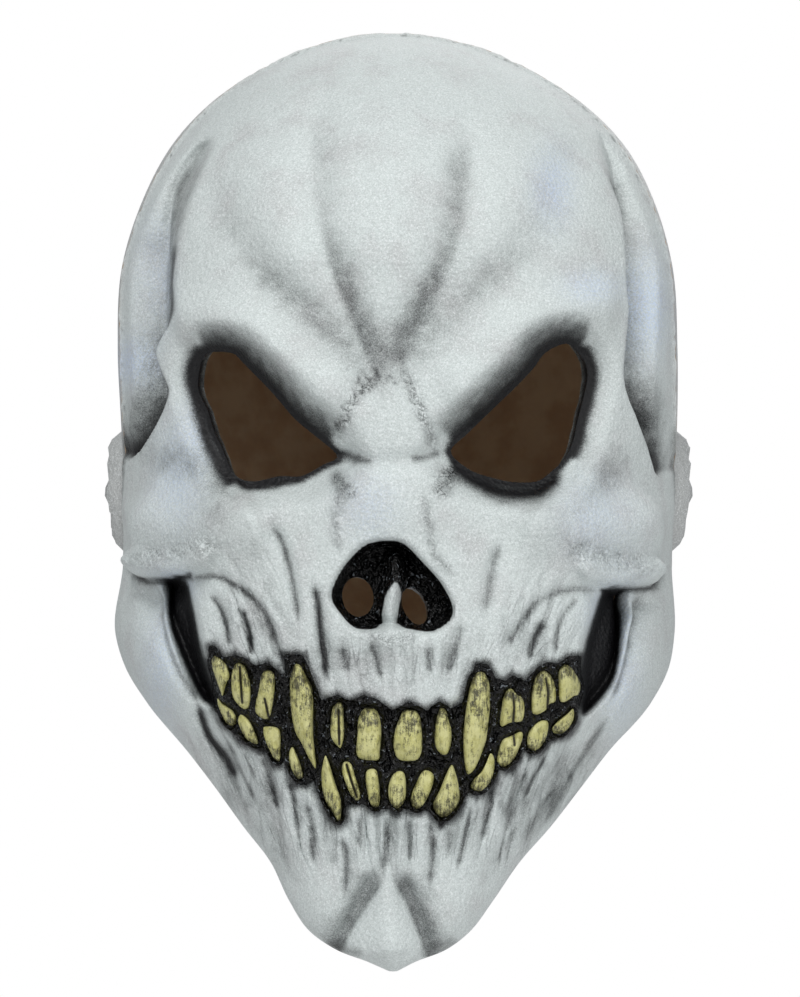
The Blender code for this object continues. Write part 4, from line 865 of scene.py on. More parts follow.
LOWER_TEETH = (
    ToothForm(((-43.9, -70.9), (-42.6, -72.2), (-40.0, -74.1), (-39.1, -76.4), (-40.0, -77.9),
        (-41.6, -77.1), (-42.9, -74.8), (-43.7, -72.8)), 2.4),
    ToothForm(((-38.0, -74.9), (-36.0, -76.4), (-34.7, -79.0), (-33.6, -82.0), (-34.7, -82.3),
        (-36.7, -81.0), (-38.0, -78.7), (-38.8, -76.4)), 2.4),
    ToothForm(((-32.1, -77.9), (-29.2, -78.1), (-28.2, -79.4), (-28.1, -82.6), (-28.2, -86.4),
        (-29.5, -86.2), (-30.8, -83.9), (-31.8, -81.7), (-32.4, -79.4)), 2.4),
    ToothForm(((-25.1, -83.0), (-24.1, -84.9), (-23.0, -87.9), (-22.5, -90.5), (-23.6, -91.0),
        (-24.9, -89.5), (-25.9, -86.9), (-25.9, -84.3)), 2.2),
    ToothForm(((-16.8, -85.2), (-15.8, -87.5), (-14.5, -91.8), (-13.0, -96.4), (-13.0, -100.6),
        (-13.8, -101.5), (-15.1, -99.6), (-16.9, -96.4), (-17.7, -93.1), (-17.9, -89.8), (-17.4, -86.6)),
        3.4),
    ToothForm(((-12.2, -86.7), (-10.5, -87.1), (-9.6, -89.8), (-8.6, -93.1), (-8.1, -95.7), (-9.2, -96.5),
        (-10.7, -94.7), (-11.9, -91.8), (-12.8, -88.8)), 2.6, slits=(((-11.6, -87.4), (-10.4, -91.5),
        (-9.0, -95.6)),)),
    ToothForm(((-6.0, -88.6), (-4.2, -88.8), (-3.5, -91.8), (-3.2, -95.7), (-3.7, -98.0), (-5.0, -98.0),
        (-6.0, -96.4), (-6.6, -93.1), (-6.8, -89.8)), 2.8),
    ToothForm(((1.6, -89.0), (2.9, -89.8), (3.3, -93.1), (2.9, -96.4), (1.2, -98.5), (-0.4, -97.3),
        (-1.2, -94.7), (-0.9, -91.8), (0.1, -89.8)), 2.8),
    ToothForm(((8.4, -88.8), (10.1, -89.8), (10.1, -91.8), (9.1, -94.7), (7.4, -97.7), (5.5, -98.5),
        (4.5, -96.7), (4.8, -94.4), (6.1, -91.5), (7.1, -89.5)), 2.8),
    ToothForm(((14.6, -87.5), (15.6, -89.2), (16.5, -93.1), (16.6, -96.4), (15.0, -99.3), (12.3, -100.8),
        (10.4, -99.0), (10.1, -97.0), (11.7, -93.7), (13.0, -90.5)), 3.6),
    ToothForm(((24.4, -84.6), (25.4, -86.2), (25.1, -89.8), (24.1, -92.1), (21.8, -94.1), (19.9, -93.7),
        (19.5, -92.4), (20.5, -90.8), (22.1, -89.2), (23.5, -86.6)), 2.4),
    ToothForm(((32.0, -79.2), (32.4, -80.7), (31.3, -83.9), (30.0, -86.6), (27.7, -88.0), (26.1, -86.9),
        (26.3, -84.3), (27.4, -81.3), (29.3, -80.3)), 2.6, slits=(((30.1, -79.6), (30.4, -82.6)),)),
    ToothForm(((37.2, -76.4), (38.7, -76.7), (38.7, -79.0), (37.8, -81.7), (36.2, -83.6), (34.6, -83.9),
        (33.6, -82.6), (33.7, -80.0), (35.2, -77.7)), 2.4),
    ToothForm(((45.0, -73.5), (45.2, -75.8), (44.0, -78.1), (42.1, -79.7), (40.1, -79.5), (39.8, -78.2),
        (41.4, -76.4), (43.4, -74.8)), 2.4),
)


@dataclass(frozen=True)
class WrinkleField:
    """Fine folds that run down the lower face and close in toward the chin."""

    closing: float = 0.0095
    middle: float = -80.0
    spacing: float = 2.8
    length: float = 22.0
    rise: float = 1.0
    tone: float = 0.2
    areas: tuple[Swell, ...] = (
        Swell(-1.0, -63.0, 27.0, 8.0),
        Swell(-35.0, -50.0, 10.0, 14.0),
        Swell(36.0, -52.0, 10.0, 13.0),
        Swell(0.0, -104.0, 24.0, 9.0),
        Swell(-32.0, -93.0, 9.0, 10.0),
        Swell(32.0, -93.0, 9.0, 10.0),
        Swell(-46.0, -88.0, 9.0, 14.0),
        Swell(46.0, -88.0, 9.0, 14.0),
        Swell(-30.0, -104.0, 8.0, 9.0),
        Swell(29.0, -104.0, 8.0, 9.0),
    )

    def flow(self, across: Array, height: Array) -> Array:
        """Number the lines that the folds follow, from the middle to the right."""
        return across * np.exp(-self.closing * (height - self.middle))

    def strength(self, across: Array, height: Array) -> Array:
        """Read how wrinkled each place is, 0 to 1."""
        return np.clip(1.3 * sum(area.profile(across, height) for area in self.areas), 0.0, 1.0)

    def creases(self, across: Array, height: Array) -> Array:
        """Find the creases between the folds.

        Args:
            across: The places' distances to the right.
            height: The places' heights.

        Returns:
            Depths from 0 on a fold to 1 along a crease.
        """
        flow = self.flow(across, height)
        level = np.zeros(len(across))
        wander = lattice_noise(np.column_stack((flow / 6.0, height / 9.0, level)), 1.0, 40) - 0.5
        lines = lattice_noise(
            np.column_stack((flow / self.spacing + wander, height / self.length, level)), 1.0, 31
        )
        return self.strength(across, height) * smoothstep((0.45 - np.abs(2.0 * lines - 1.0)) / 0.45)


class ToothRow(Enum):
    """The two rows of teeth, by the direction of their tips."""

    UPPER = "tooth_upper"
    LOWER = "tooth_lower"


@dataclass(frozen=True)
class FaceSculpt:
    """All that is raised, sunk, airbrushed and painted as shade on the face, as seen from straight ahead.
    """

    sight: Sight = Sight()
    wrinkles: WrinkleField = WrinkleField()
    socket_depth: float = 7.5
    socket_reach: float = 9.0
    socket_rim: float = 1.1
    socket_paint: float = 0.5
    socket_tone: float = 0.98
    fold_tone: float = 0.97
    gum_margin: float = 1.0
    gum_shade: float = 1.3
    gum_tone: float = 0.75
    gum_lump_size: float = 1.9
    gum_lump_rise: float = 1.0
    gum_sink: float = 0.4
    tooth_reach: float = 5.0
    collar_gap: float = 1.0
    collar_rise: float = 1.2
    collar_width: float = 0.75

    def eye_distance(self, across: Array, height: Array) -> Array:
        """Measure the signed distance to the nearer eye hole, positive inside it."""
        rings = (closed_curve(EYE_LEFT), closed_curve(EYE_RIGHT))
        return np.maximum(*(inside_distance(across, height, ring) for ring in rings))

    def broad(self, across: Array, height: Array) -> Array:
        """Add up the large forms.

        Args:
            across: The places' distances to the right.
            height: The places' heights.

        Returns:
            How far each place stands proud of the plain sections.
        """
        rise = np.zeros(across.shape)
        for stroke in BROAD_STROKES:
            rise += stroke.rise * stroke.profile(across, height, stroke.width)
        for swell in SWELLS:
            rise += swell.rise * swell.profile(across, height)
        for hollow in HOLLOWS:
            rise -= hollow.depth * hollow.profile(across, height, hollow.wall)
        rise += SEPTUM.rise * SEPTUM.profile(across, height, SEPTUM.width)
        gap = np.maximum(-self.eye_distance(across, height), 0.0)
        return rise - self.socket_depth * (1.0 - smoothstep(gap / self.socket_reach))

    def fine(self, across: Array, height: Array) -> Array:
        """Add up the small folds, and the collars of gum round the teeth.

        Args:
            across: The places' distances to the right.
            height: The places' heights.

        Returns:
            How far each place stands proud of the large forms.
        """
        rise = np.zeros(across.shape)
        for stroke in FINE_STROKES + SCRIBBLE_STROKES:
            if stroke.rise:
                rise += stroke.rise * stroke.profile(across, height, stroke.width)
        teeth = self.tooth_distance(across, height)
        rise += self.collar_rise * np.exp(-(((teeth + self.collar_gap) / self.collar_width) ** 2))
        gum = smoothstep(self.gum(across, height) + 0.5)
        flat = np.column_stack((across, height, np.zeros(len(across))))
        rise += gum * (self.gum_lump_rise * lattice_noise(flat, self.gum_lump_size, 11) - self.gum_sink)
        rise -= self.wrinkles.rise * self.wrinkles.creases(across, height) * (1.0 - gum)
        for stroke in CRUSTS:
            rise += stroke.rise * stroke.profile(across, height, stroke.width)
        return rise

    def crust(self, across: Array, height: Array) -> Array:
        """Mark the bands of crusty scribbles.

        Args:
            across: The places' distances to the right.
            height: The places' heights.

        Returns:
            Strengths, 0 to 1.
        """
        bands = np.zeros(across.shape)
        for stroke in CRUSTS:
            bands = np.maximum(bands, stroke.tone * stroke.profile(across, height, stroke.width))
        return bands

    def tooth_distance(self, across: Array, height: Array) -> Array:
        """Measure how far inside the outline of the nearest tooth each place is.

        Args:
            across: The places' distances to the right.
            height: The places' heights.

        Returns:
            Signed distances, positive inside a tooth, and no lower than minus the reach.
        """
        nearest = np.full(across.shape, -self.tooth_reach)
        for form in UPPER_TEETH + LOWER_TEETH:
            ring = closed_curve(form.outline)
            near = within_reach(across, height, ring, self.tooth_reach)
            if near.any():
                gap = inside_distance(across[near], height[near], ring)
                nearest[near] = np.maximum(nearest[near], gap)
        return nearest

    def gum(self, across: Array, height: Array) -> Array:
        """Measure how far inside the black gums each place is, positive inside."""
        teeth = self.tooth_distance(across, height) + self.gum_margin
        return np.maximum(teeth, inside_distance(across, height, GUM))

    def airbrush_and_shade(self, across: Array, height: Array) -> Array:
        """Lay the soft black tone, airbrush together with the painted shade of the broad faint swells.

        Args:
            across: The places' distances to the right.
            height: The places' heights.

        Returns:
            Densities from 0, bare, to 1, black.
        """
        bare = np.ones(across.shape)
        for stroke in BROAD_STROKES + FINE_STROKES + SCRIBBLE_STROKES:
            if stroke.tone:
                bare *= 1.0 - np.minimum(stroke.shade(across, height), self.fold_tone)
        for swell in SWELLS:
            if swell.tone:
                bare *= 1.0 - swell.tone * swell.profile(across, height)
        for hollow in HOLLOWS:
            if hollow.tone:
                bare *= 1.0 - hollow.tone * hollow.profile(across, height, hollow.tone_edge)
        gap = np.maximum(-self.eye_distance(across, height) - self.socket_paint, 0.0)
        bare *= 1.0 - self.socket_tone * np.exp(-((gap / self.socket_rim) ** 2))
        bare *= 1.0 - self.wrinkles.tone * self.wrinkles.creases(across, height)
        edge = np.minimum(self.gum(across, height), 0.0)
        bare *= 1.0 - self.gum_tone * np.exp(-((edge / self.gum_shade) ** 2))
        return 1.0 - bare


@dataclass(frozen=True)
class EarSculpt:
    """A simple moulded ear on the side of the cap, seen from the side."""

    y: float = 2.0
    height: float = -19.0
    half_width: float = 13.0
    half_height: float = 16.5
    lean: float = 14.0
    rise: float = 4.0
    cup_depth: float = 3.4
    helix_rise: float = 0.9
    helix_reach: float = 0.86
    helix_width: float = 0.1
    groove_depth: float = 1.3
    groove_reach: float = 0.68
    groove_width: float = 0.08
    tragus_rise: float = 2.0
    inner_fold_rise: float = 1.2

    def relief(self, along: Array, height: Array, fine: bool) -> Array:
        """Find how far the ear stands out of the cap.

        Args:
            along: The places' distances to the rear.
            height: The places' heights.
            fine: Whether the outer fold, the inner fold and the notch are modelled too.

        Returns:
            Rises above the plain cap.
        """
        lean = math.radians(self.lean)
        rearward, up = along - self.y, height - self.height
        across = (rearward * math.cos(lean) - up * math.sin(lean)) / self.half_width
        level = (rearward * math.sin(lean) + up * math.cos(lean)) / self.half_height
        reach = np.hypot(across, level)
        rise = self.rise * smoothstep((1.12 - reach) / (0.34 if fine else 0.6))
        cup = np.hypot((across - 0.12) / 0.5, (level - 0.05) / 0.62)
        rise -= self.cup_depth * smoothstep((1.0 - cup) / (0.5 if fine else 0.7))
        if fine:
            upper = smoothstep((level + 0.6) / 0.3)
            helix = np.exp(-(((reach - self.helix_reach) / self.helix_width) ** 2))
            rise += self.helix_rise * upper * helix
            groove = np.exp(-(((reach - self.groove_reach) / self.groove_width) ** 2))
            rise -= self.groove_depth * upper * smoothstep((across + 0.3) / 0.3) * groove
            tragus = np.exp(-(((across + 0.5) / 0.16) ** 2) - ((level + 0.1) / 0.18) ** 2)
            rise += self.tragus_rise * tragus
            inner_fold = np.exp(-(((across - 0.25) / 0.1) ** 2) - ((level - 0.25) / 0.3) ** 2)
            rise += self.inner_fold_rise * inner_fold
        return rise


@dataclass
class SkinShell:
    """One half of the latex skin, from its plain sections to its finished mesh.

    Columns and rows set how finely it is lofted, and reach is how far round from the middle of
    the face the columns go, in degrees.
    """

    name: str
    side: Side
    columns: int
    rows: int
    reach: float
    sculpt: FaceSculpt = field(default_factory=FaceSculpt)
    ear: EarSculpt = field(default_factory=EarSculpt)
    crust_height: float = 1.0
    crust_width: float = 1.3
    crust_foot: float = -30.0
    crust_fade: float = 25.0
    face_end: float = -8.0
    face_fade: float = 12.0
    lining_share: float = 0.42
    least_wall: float = 1.1
    half_width: float = 76.0
    half_depth: float = 96.0
    merge_distance: float = 0.02
    sharp_angle: float = 62.0
    edge_tone: float = 0.7
    # painted shade: dark specks beside the seam's crusty ridge
    seam_shade_tone: float = 0.5
    seam_shade_gap: float = 1.3
    seam_shade_width: float = 0.8
    # painted shade in the crease before the ear and in the ear's cup
    crease_tone: float = 0.45
    crease_width: float = 4.0
    crease_top: float = 2.0
    crease_foot: float = -46.0
    ear_cup_shade: float = 0.36
    cup_half_depth: float = 6.0
    cup_half_height: float = 9.0
    ear_inset: float = 60.0

    @property
    def detail(self) -> float:
        """Tell the detailed front, 1, from the plain rear, 0."""
        return 1.0 if self.side is Side.FRONT else 0.0

    def angles(self, count: int) -> Array:
        """Space the columns, closer together where the detail is.

        Args:
            count: Number of columns.

        Returns:
            Angles round from the middle of the face.
        """
        if self.side is Side.REAR:
            even = np.linspace(-1.0, 1.0, count)
            return np.radians(self.reach) * (even + 0.05 * np.sin(2.0 * math.pi * even))
        fan = np.radians(np.linspace(-self.reach, self.reach, 4001))
        x = self.half_width * np.sign(fan) * np.abs(np.sin(fan)) ** 0.9
        y = -self.half_depth * np.sign(np.cos(fan)) * np.abs(np.cos(fan)) ** 0.9
        weight = 1.0 - 0.55 * smoothstep((np.abs(x) - 60.0) / 12.0)
        steps = np.hypot(np.diff(x), np.diff(y)) * weight[1:]
        run = np.concatenate(([0.0], np.cumsum(steps)))
        return np.interp(np.linspace(0.0, run[-1], count), run, fan)

    def plain_rows(self, share: float) -> Array:
        """Loft the plain sections.

        Args:
            share: Part of the columns and rows to make.

        Returns:
            Rows of points, crown to chin.
        """
        table = np.asarray(SECTIONS, float)
        profile = np.column_stack((table[:, 0], 0.5 * (table[:, 1] + table[:, 2]), table[:, 3] * 0.5))
        stations = np.concatenate(([0.0], np.cumsum(np.linalg.norm(np.diff(profile, axis=0), axis=1))))
        dense = np.linspace(0.0, stations[-1], 2001)
        levels = through(stations, table, dense)[:, 0]
        weight = 1.0 - 0.35 * self.detail * smoothstep((levels - 20.0) / 15.0)
        run = np.concatenate(([0.0], np.cumsum(weight[1:])))
        count = round(self.rows * share)
        rows = through(stations, table, np.interp(np.linspace(0.0, run[-1], count), run, dense))
        angles = self.angles(round(self.columns * share))
        sine, cosine = np.sin(angles)[None, :], np.cos(angles)[None, :]
        height, left, right, front_y, side_y, rear_y, front_power, rear_power = (
            column[:, None] for column in rows.T
        )
        power = np.where(cosine >= 0.0, front_power, rear_power)
        half = np.where(sine >= 0.0, right, left)
        x = half * np.sign(sine) * np.abs(sine) ** (2.0 / power)
        depth = np.where(cosine >= 0.0, front_y - side_y, rear_y - side_y)
        y = side_y + depth * np.abs(cosine) ** (2.0 / power)
        return np.stack((x, y, np.broadcast_to(height, x.shape)), axis=-1)

    def plain_sheet(self, share: float) -> bmesh.types.BMesh:
        """Join the rows into a sheet, closed at the crown where it goes all the way round.

        Args:
            share: Part of the columns and rows to make.

        Returns:
            The sheet.
        """
        points = self.plain_rows(share)
        ring = self.reach >= 180.0
        if ring:
            points = points[:, :-1]
        rows, columns = points.shape[:2]
        sheet = bmesh.new()
        grid = [[sheet.verts.new(point) for point in row] for row in points]
        last = columns if ring else columns - 1
        for column in range(last):
            beside = (column + 1) % columns
            for row in range(rows - 1):
                sheet.faces.new(
                    (grid[row][column], grid[row + 1][column], grid[row + 1][beside], grid[row][beside])
                )
        if ring:
            crown = sheet.verts.new(points[0].mean(axis=0))
            for column in range(columns):
                sheet.faces.new((crown, grid[0][column], grid[0][(column + 1) % columns]))
        sheet.normal_update()
        return sheet

    def below_rim(self, places: Array) -> Array:
        """Measure how far below the lower edge places are."""
        edge = np.asarray(RIM, float)
        return through(edge[:, 0], edge[:, 1:], places[:, 1])[:, 0] - places[:, 2]

    def past_seam(self, places: Array) -> Array:
        """Measure how far past the seam places are, away from this half.

        Args:
            places: The places.

        Returns:
            Distances, positive past the seam.
        """
        edge = np.asarray(SEAM, float)
        behind = places[:, 1] - through(edge[:, 0], edge[:, 1:], places[:, 2])[:, 0]
        return self.side.value * behind + 0.5 * SEAM_GAP

    def in_holes(self, places: Array) -> Array:
        """Measure how far inside an eye hole or a nostril places are.

        Args:
            places: The places.

        Returns:
            Distances, positive inside a hole.
        """
        across, height = self.sculpt.sight.apparent(places)
        level = self.sculpt.eye_distance(across, height)
        for centre, middle, half_width, half_height, lean in NOSTRILS:
            turn = math.radians(lean)
            right, up = across - centre, height - middle
            wide = (right * math.cos(turn) + up * math.sin(turn)) / half_width
            tall = (up * math.cos(turn) - right * math.sin(turn)) / half_height
            level = np.maximum(level, (1.0 - np.hypot(wide, tall)) * half_width)
        return np.where(places[:, 1] < 0.0, level, -1.0)

    @staticmethod
    def cut_away(sheet: bmesh.types.BMesh, levels: Array) -> None:
        """Trim the sheet exactly where its levels cross zero, and drop the positive side.

        Args:
            sheet: The sheet, changed in place.
            levels: One number for each vertex in order.
        """
        sheet.verts.index_update()
        value = dict(zip(sheet.verts, levels))
        on_line = set()
        for edge in sheet.edges:
            first, second = edge.verts
            a, b = value[first], value[second]
            if a * b >= 0.0:
                continue
            share = a / (a - b)
            if share < 0.3:
                first.co = first.co.lerp(second.co, share)
                value[first] = 0.0
                on_line.add(first)
            elif share > 0.7:
                second.co = first.co.lerp(second.co, share)
                value[second] = 0.0
                on_line.add(second)
        for edge in [item for item in sheet.edges if value[item.verts[0]] * value[item.verts[1]] < 0.0]:
            first, second = edge.verts
            share = value[first] / (value[first] - value[second])
            _, fresh = bmesh.utils.edge_split(edge, first, share)
            value[fresh] = 0.0
            on_line.add(fresh)
        bmesh.ops.connect_verts(sheet, verts=list(on_line))
        dropped = [face for face in sheet.faces if sum(value[vertex] for vertex in face.verts) > 0.0]
        bmesh.ops.delete(sheet, geom=dropped, context="FACES")

    def trimmed_sheet(self, share: float) -> bmesh.types.BMesh:
        """Cut the plain sheet at its rim, seam and holes.

        Args:
            share: Part of the columns and rows to make.

        Returns:
            The sheet.
        """
        sheet = self.plain_sheet(share)
        for measure in (self.below_rim, self.past_seam, self.in_holes):
            self.cut_away(sheet, measure(np.array([vertex.co for vertex in sheet.verts])))
        bmesh.ops.dissolve_degenerate(sheet, dist=self.merge_distance, edges=sheet.edges)
        sheet.normal_update()
        return sheet

    @staticmethod
    def edge_rings(sheet: bmesh.types.BMesh) -> list[list[int]]:
        """Follow the open edges of a sheet.

        Args:
            sheet: The sheet.

        Returns:
            Vertex numbers of each closed ring in order, longest ring first.
        """
        sheet.verts.index_update()
        following = {}
        for edge in sheet.edges:
            if edge.is_boundary:
                loop = edge.link_loops[0]
                following[loop.vert.index] = loop.link_loop_next.vert.index
        rings = []
        while following:
            start, here = following.popitem()
            ring = [start]
            while here != start:
                ring.append(here)
                here = following.pop(here, start)
            rings.append(ring)
        return sorted(rings, key=len, reverse=True)

    @staticmethod
    def zipped(first: list[int], second: list[int], near: Array, far: Array) -> list[tuple[int, int, int]]:
        """Join two rings that run side by side with a strip of triangles.

        Args:
            first: Vertex numbers of the outer ring.
            second: Vertex numbers of the inner ring.
            near: Places that the outer numbers refer to.
            far: Places that the inner numbers refer to.

        Returns:
            Triangles whose inner numbers follow on from the outer ones.
        """
        start = int(np.argmin(np.linalg.norm(far[second] - near[first[0]], axis=1)))
        second = second[start:] + second[:start] + [second[start]]
        first = first + [first[0]]
        offset, i, j = len(near), 0, 0
        strip = []
        while i < len(first) - 1 or j < len(second) - 1:
            ahead = i < len(first) - 1
            behind = j < len(second) - 1
            if ahead and behind:
                ahead = (
                    np.linalg.norm(near[first[i + 1]] - far[second[j]])
                    <= np.linalg.norm(near[first[i]] - far[second[j + 1]])
                )
            if ahead:
                strip.append((first[i + 1], first[i], second[j] + offset))
                i += 1
            else:
                strip.append((first[i], second[j] + offset, second[j + 1] + offset))
                j += 1
        return strip

    def displaced(self, base: Array, normal: Array, fine: bool) -> Array:
        """Raise and sink the plain skin.

        Args:
            base: Places on the plain sections.
            normal: Outward directions there.
            fine: Whether the small folds and the crust are added to the large forms.

        Returns:
            The new places.
        """
        across, height = self.sculpt.sight.apparent(base)
        reach = np.abs(base[:, 0]) / self.half_width
        sideways = smoothstep((reach - 0.72) / 0.2)[:, None]
        direction = self.sculpt.sight.toward(base) * (1.0 - sideways) + normal * sideways
        direction /= np.linalg.norm(direction, axis=1, keepdims=True)
        facing = smoothstep((-normal[:, 1] + 0.05) / 0.3) * self.in_front(base)
        rise = self.sculpt.broad(across, height)
        if fine:
            rise += self.sculpt.fine(across, height)
        ears = self.ear.relief(base[:, 1], base[:, 2], fine) * smoothstep((reach - 0.8) / 0.1)
        moved = base + direction * (rise * facing)[:, None] + normal * ears[:, None]
        if fine:
            lump = self.crust(base) * self.crust_height
            moved += normal * lump[:, None]
        return moved

    def in_front(self, base: Array) -> Array:
        """Fade what belongs to the face out before the seam, 1 on the face."""
        return smoothstep((self.face_end - base[:, 1]) / self.face_fade)

    def above_ear(self, base: Array) -> Array:
        """Fade what the seam carries out down beside the ear, 1 above it."""
        return smoothstep((base[:, 2] - self.crust_foot) / self.crust_fade)

    def crust(self, base: Array) -> Array:
        """Read the strength of the crusty ridge along the seam.

        Args:
            base: Places on the plain sections.

        Returns:
            Strengths, 0 to 1.
        """
        gap = self.past_seam(base)
        rough = 0.35 + 0.65 * lattice_noise(base, 1.7, 5)
        return rough * self.above_ear(base) * np.exp(-((gap / self.crust_width) ** 2))

    def lining(self, outside: BVHTree) -> tuple[Array, Array, list[list[int]], list[list[int]]]:
        """Model the inside at the wall's distance, on a coarser grid.

        Args:
            outside: The finished outside, to stay behind.

        Returns:
            Its places on the plain sections, its finished places, its faces and its edge rings.
        """
        sheet = self.trimmed_sheet(self.lining_share)
        base = np.array([vertex.co for vertex in sheet.verts])
        normal = np.array([vertex.normal for vertex in sheet.verts])
        for vertex, place in zip(sheet.verts, self.displaced(base, normal, False)):
            vertex.co = place
        sheet.normal_update()
        places = np.array([vertex.co - WALL * vertex.normal for vertex in sheet.verts])
        rings = self.edge_rings(sheet)
        open_edge = {index for ring in rings for index in ring}
        faces = [[vertex.index for vertex in face.verts] for face in sheet.faces]
        sheet.free()
        for index, place in enumerate(places):
            if index in open_edge:
                continue
            spot = Vector(place)
            for _ in range(3):
                nearest, facing, _, _ = outside.find_nearest(spot)
                depth = (nearest - spot).dot(facing)
                if depth >= self.least_wall:
                    break
                spot -= facing * (self.least_wall - depth)
            places[index] = spot
        return base, places, faces, rings

    def finished_mesh(self) -> bpy.types.Mesh:
        """Thicken the displaced sheet to the latex wall and paint its attributes.

        Returns:
            A closed mesh in metres, with the outside in slot 0 and raw latex in slot 1.
        """
        sheet = self.trimmed_sheet(1.0)
        base = np.array([vertex.co for vertex in sheet.verts])
        normal = np.array([vertex.normal for vertex in sheet.verts])
        outer = self.displaced(base, normal, True)
        rings = self.edge_rings(sheet)
        faces = [[vertex.index for vertex in face.verts] for face in sheet.faces]
        sheet.free()
        plain, inner, inner_faces, inner_rings = self.lining(BVHTree.FromPolygons(outer.tolist(), faces))
        body = faces + [[index + len(base) for index in reversed(face)] for face in inner_faces]
        slots = [0] * len(faces) + [1] * len(inner_faces)
        for ring in rings:
            middle = base[ring].mean(axis=0)
            partner = min(inner_rings, key=lambda other: np.linalg.norm(plain[other].mean(axis=0) - middle))
            strip = self.zipped(ring, partner, base, plain)
            painted = self.in_holes(base[ring]).max() > -0.3 and len(ring) < len(rings[0])
            body += strip
            slots += [0 if painted else 1] * len(strip)
        LOG.info("%s: %d open rings outside and %d inside", self.name, len(rings), len(inner_rings))
        places = np.concatenate((outer, inner))
        places[:, 2] += EYE_LINE_Z
        mesh = bpy.data.meshes.new(self.name)
        mesh.from_pydata((places * MM).tolist(), [], body)
        mesh.polygons.foreach_set("material_index", np.array(slots, np.int32))
        mesh.shade_smooth()
        mesh.set_sharp_from_angle(angle=math.radians(self.sharp_angle))
        self.paint(mesh, base, self.in_holes(plain) > -0.6)
        return mesh

    def paint(self, mesh: bpy.types.Mesh, base: Array, holes: Array) -> None:
        """Store what the paint needs on each point of the outside.

        Args:
            mesh: The finished mesh, whose first points are the outside.
            base: Places of the outside on the plain sections.
            holes: Which points of the inside edge an eye hole or a nostril.
        """
        across, height = self.sculpt.sight.apparent(base)
        front = self.in_front(base)
        nose = Hollow(NASAL_CAVITY, 0.0, 1.6, start=0.5).profile(across, height, 1.6)
        septum = smoothstep(1.8 * SEPTUM_PAINT.profile(across, height, 2.3) - 0.35)
        septum = np.maximum(septum, smoothstep(2.2 * SEPTUM_FOOT.profile(across, height) - 0.6))
        sheen = sum(spot.tone * spot.profile(across, height) for spot in SHEENS)
        # the tone holds the airbrush, the painted shade of the broad swells, and the painted shade in and
        # before the ear
        bare = (1.0 - self.sculpt.airbrush_and_shade(across, height) * front) * (1.0 - self.ear_shade(base))
        layers = {
            # the seam's specks of painted shade go into the tone too
            "tone": np.maximum((1.0 - bare) * (1.0 - septum * nose), self.seam_shade_specks(base)),
            "sheen": sheen * front,
            "gum": np.clip(self.sculpt.gum(across, height) * 0.125 + 0.5, 0.0, 1.0) * front,
            "lacquer": nose * (1.0 - septum) * front,
            "crust": self.crust(base),
            "creased": self.sculpt.wrinkles.strength(across, height) * front,
            "scribble": self.sculpt.crust(across, height) * front,
            "flow": self.sculpt.wrinkles.flow(across, height),
            "level": height,
        }
        for name, values in layers.items():
            inner = holes * self.edge_tone if name == "tone" else np.zeros(len(holes))
            store(mesh, name, np.concatenate((values, inner)))

    def seam_shade_specks(self, base: Array) -> Array:
        """Speckle the edges of the crusty ridge with painted shade, dark specks where its bumps shade the
        skin beside them.

        Args:
            base: Places on the plain sections.

        Returns:
            Painted shade from 0 to 1.
        """
        gap = (np.abs(self.past_seam(base)) - self.seam_shade_gap) / self.seam_shade_width
        flecks = smoothstep((lattice_noise(base, 1.1, 9) - 0.55) / 0.2)
        return self.seam_shade_tone * flecks * np.exp(-(gap**2)) * self.above_ear(base)

    def ear_shade(self, base: Array) -> Array:
        """Paint shade into the crease in front of the ear and into the cup of the ear.

        Args:
            base: Places on the plain sections.

        Returns:
            Painted shade from 0 to 1.
        """
        y, z = base[:, 1], base[:, 2]
        window = smoothstep((self.crease_top - z) / 8.0) * smoothstep((z - self.crease_foot) / 10.0)
        crease = self.crease_tone * window * np.exp(-((self.past_seam(base) / self.crease_width) ** 2))
        along = (y - self.ear.y - 2.0) / self.cup_half_depth
        cup = np.hypot(along, (z - self.ear.height) / self.cup_half_height)
        hollow = self.ear_cup_shade * np.exp(-(cup**2)) * (np.abs(base[:, 0]) > self.ear_inset)
        return 1.0 - (1.0 - crease) * (1.0 - hollow)

    def build(
        self, node: str, slot: str, outside: bpy.types.Material, raw: bpy.types.Material
    ) -> bpy.types.Object:
        """Make the piece, in place of its plain solid.

        Args:
            node: The solid that it stands for.
            slot: The record's finish; not used.
            outside: Material of the painted outside.
            raw: Material of the unpainted inside and cut edges.

        Returns:
            The finished object.
        """
        item = bpy.data.objects.new(self.name, self.finished_mesh())
        item.data.materials.append(outside)
        item.data.materials.append(raw)
        dress(item, node)
        return item


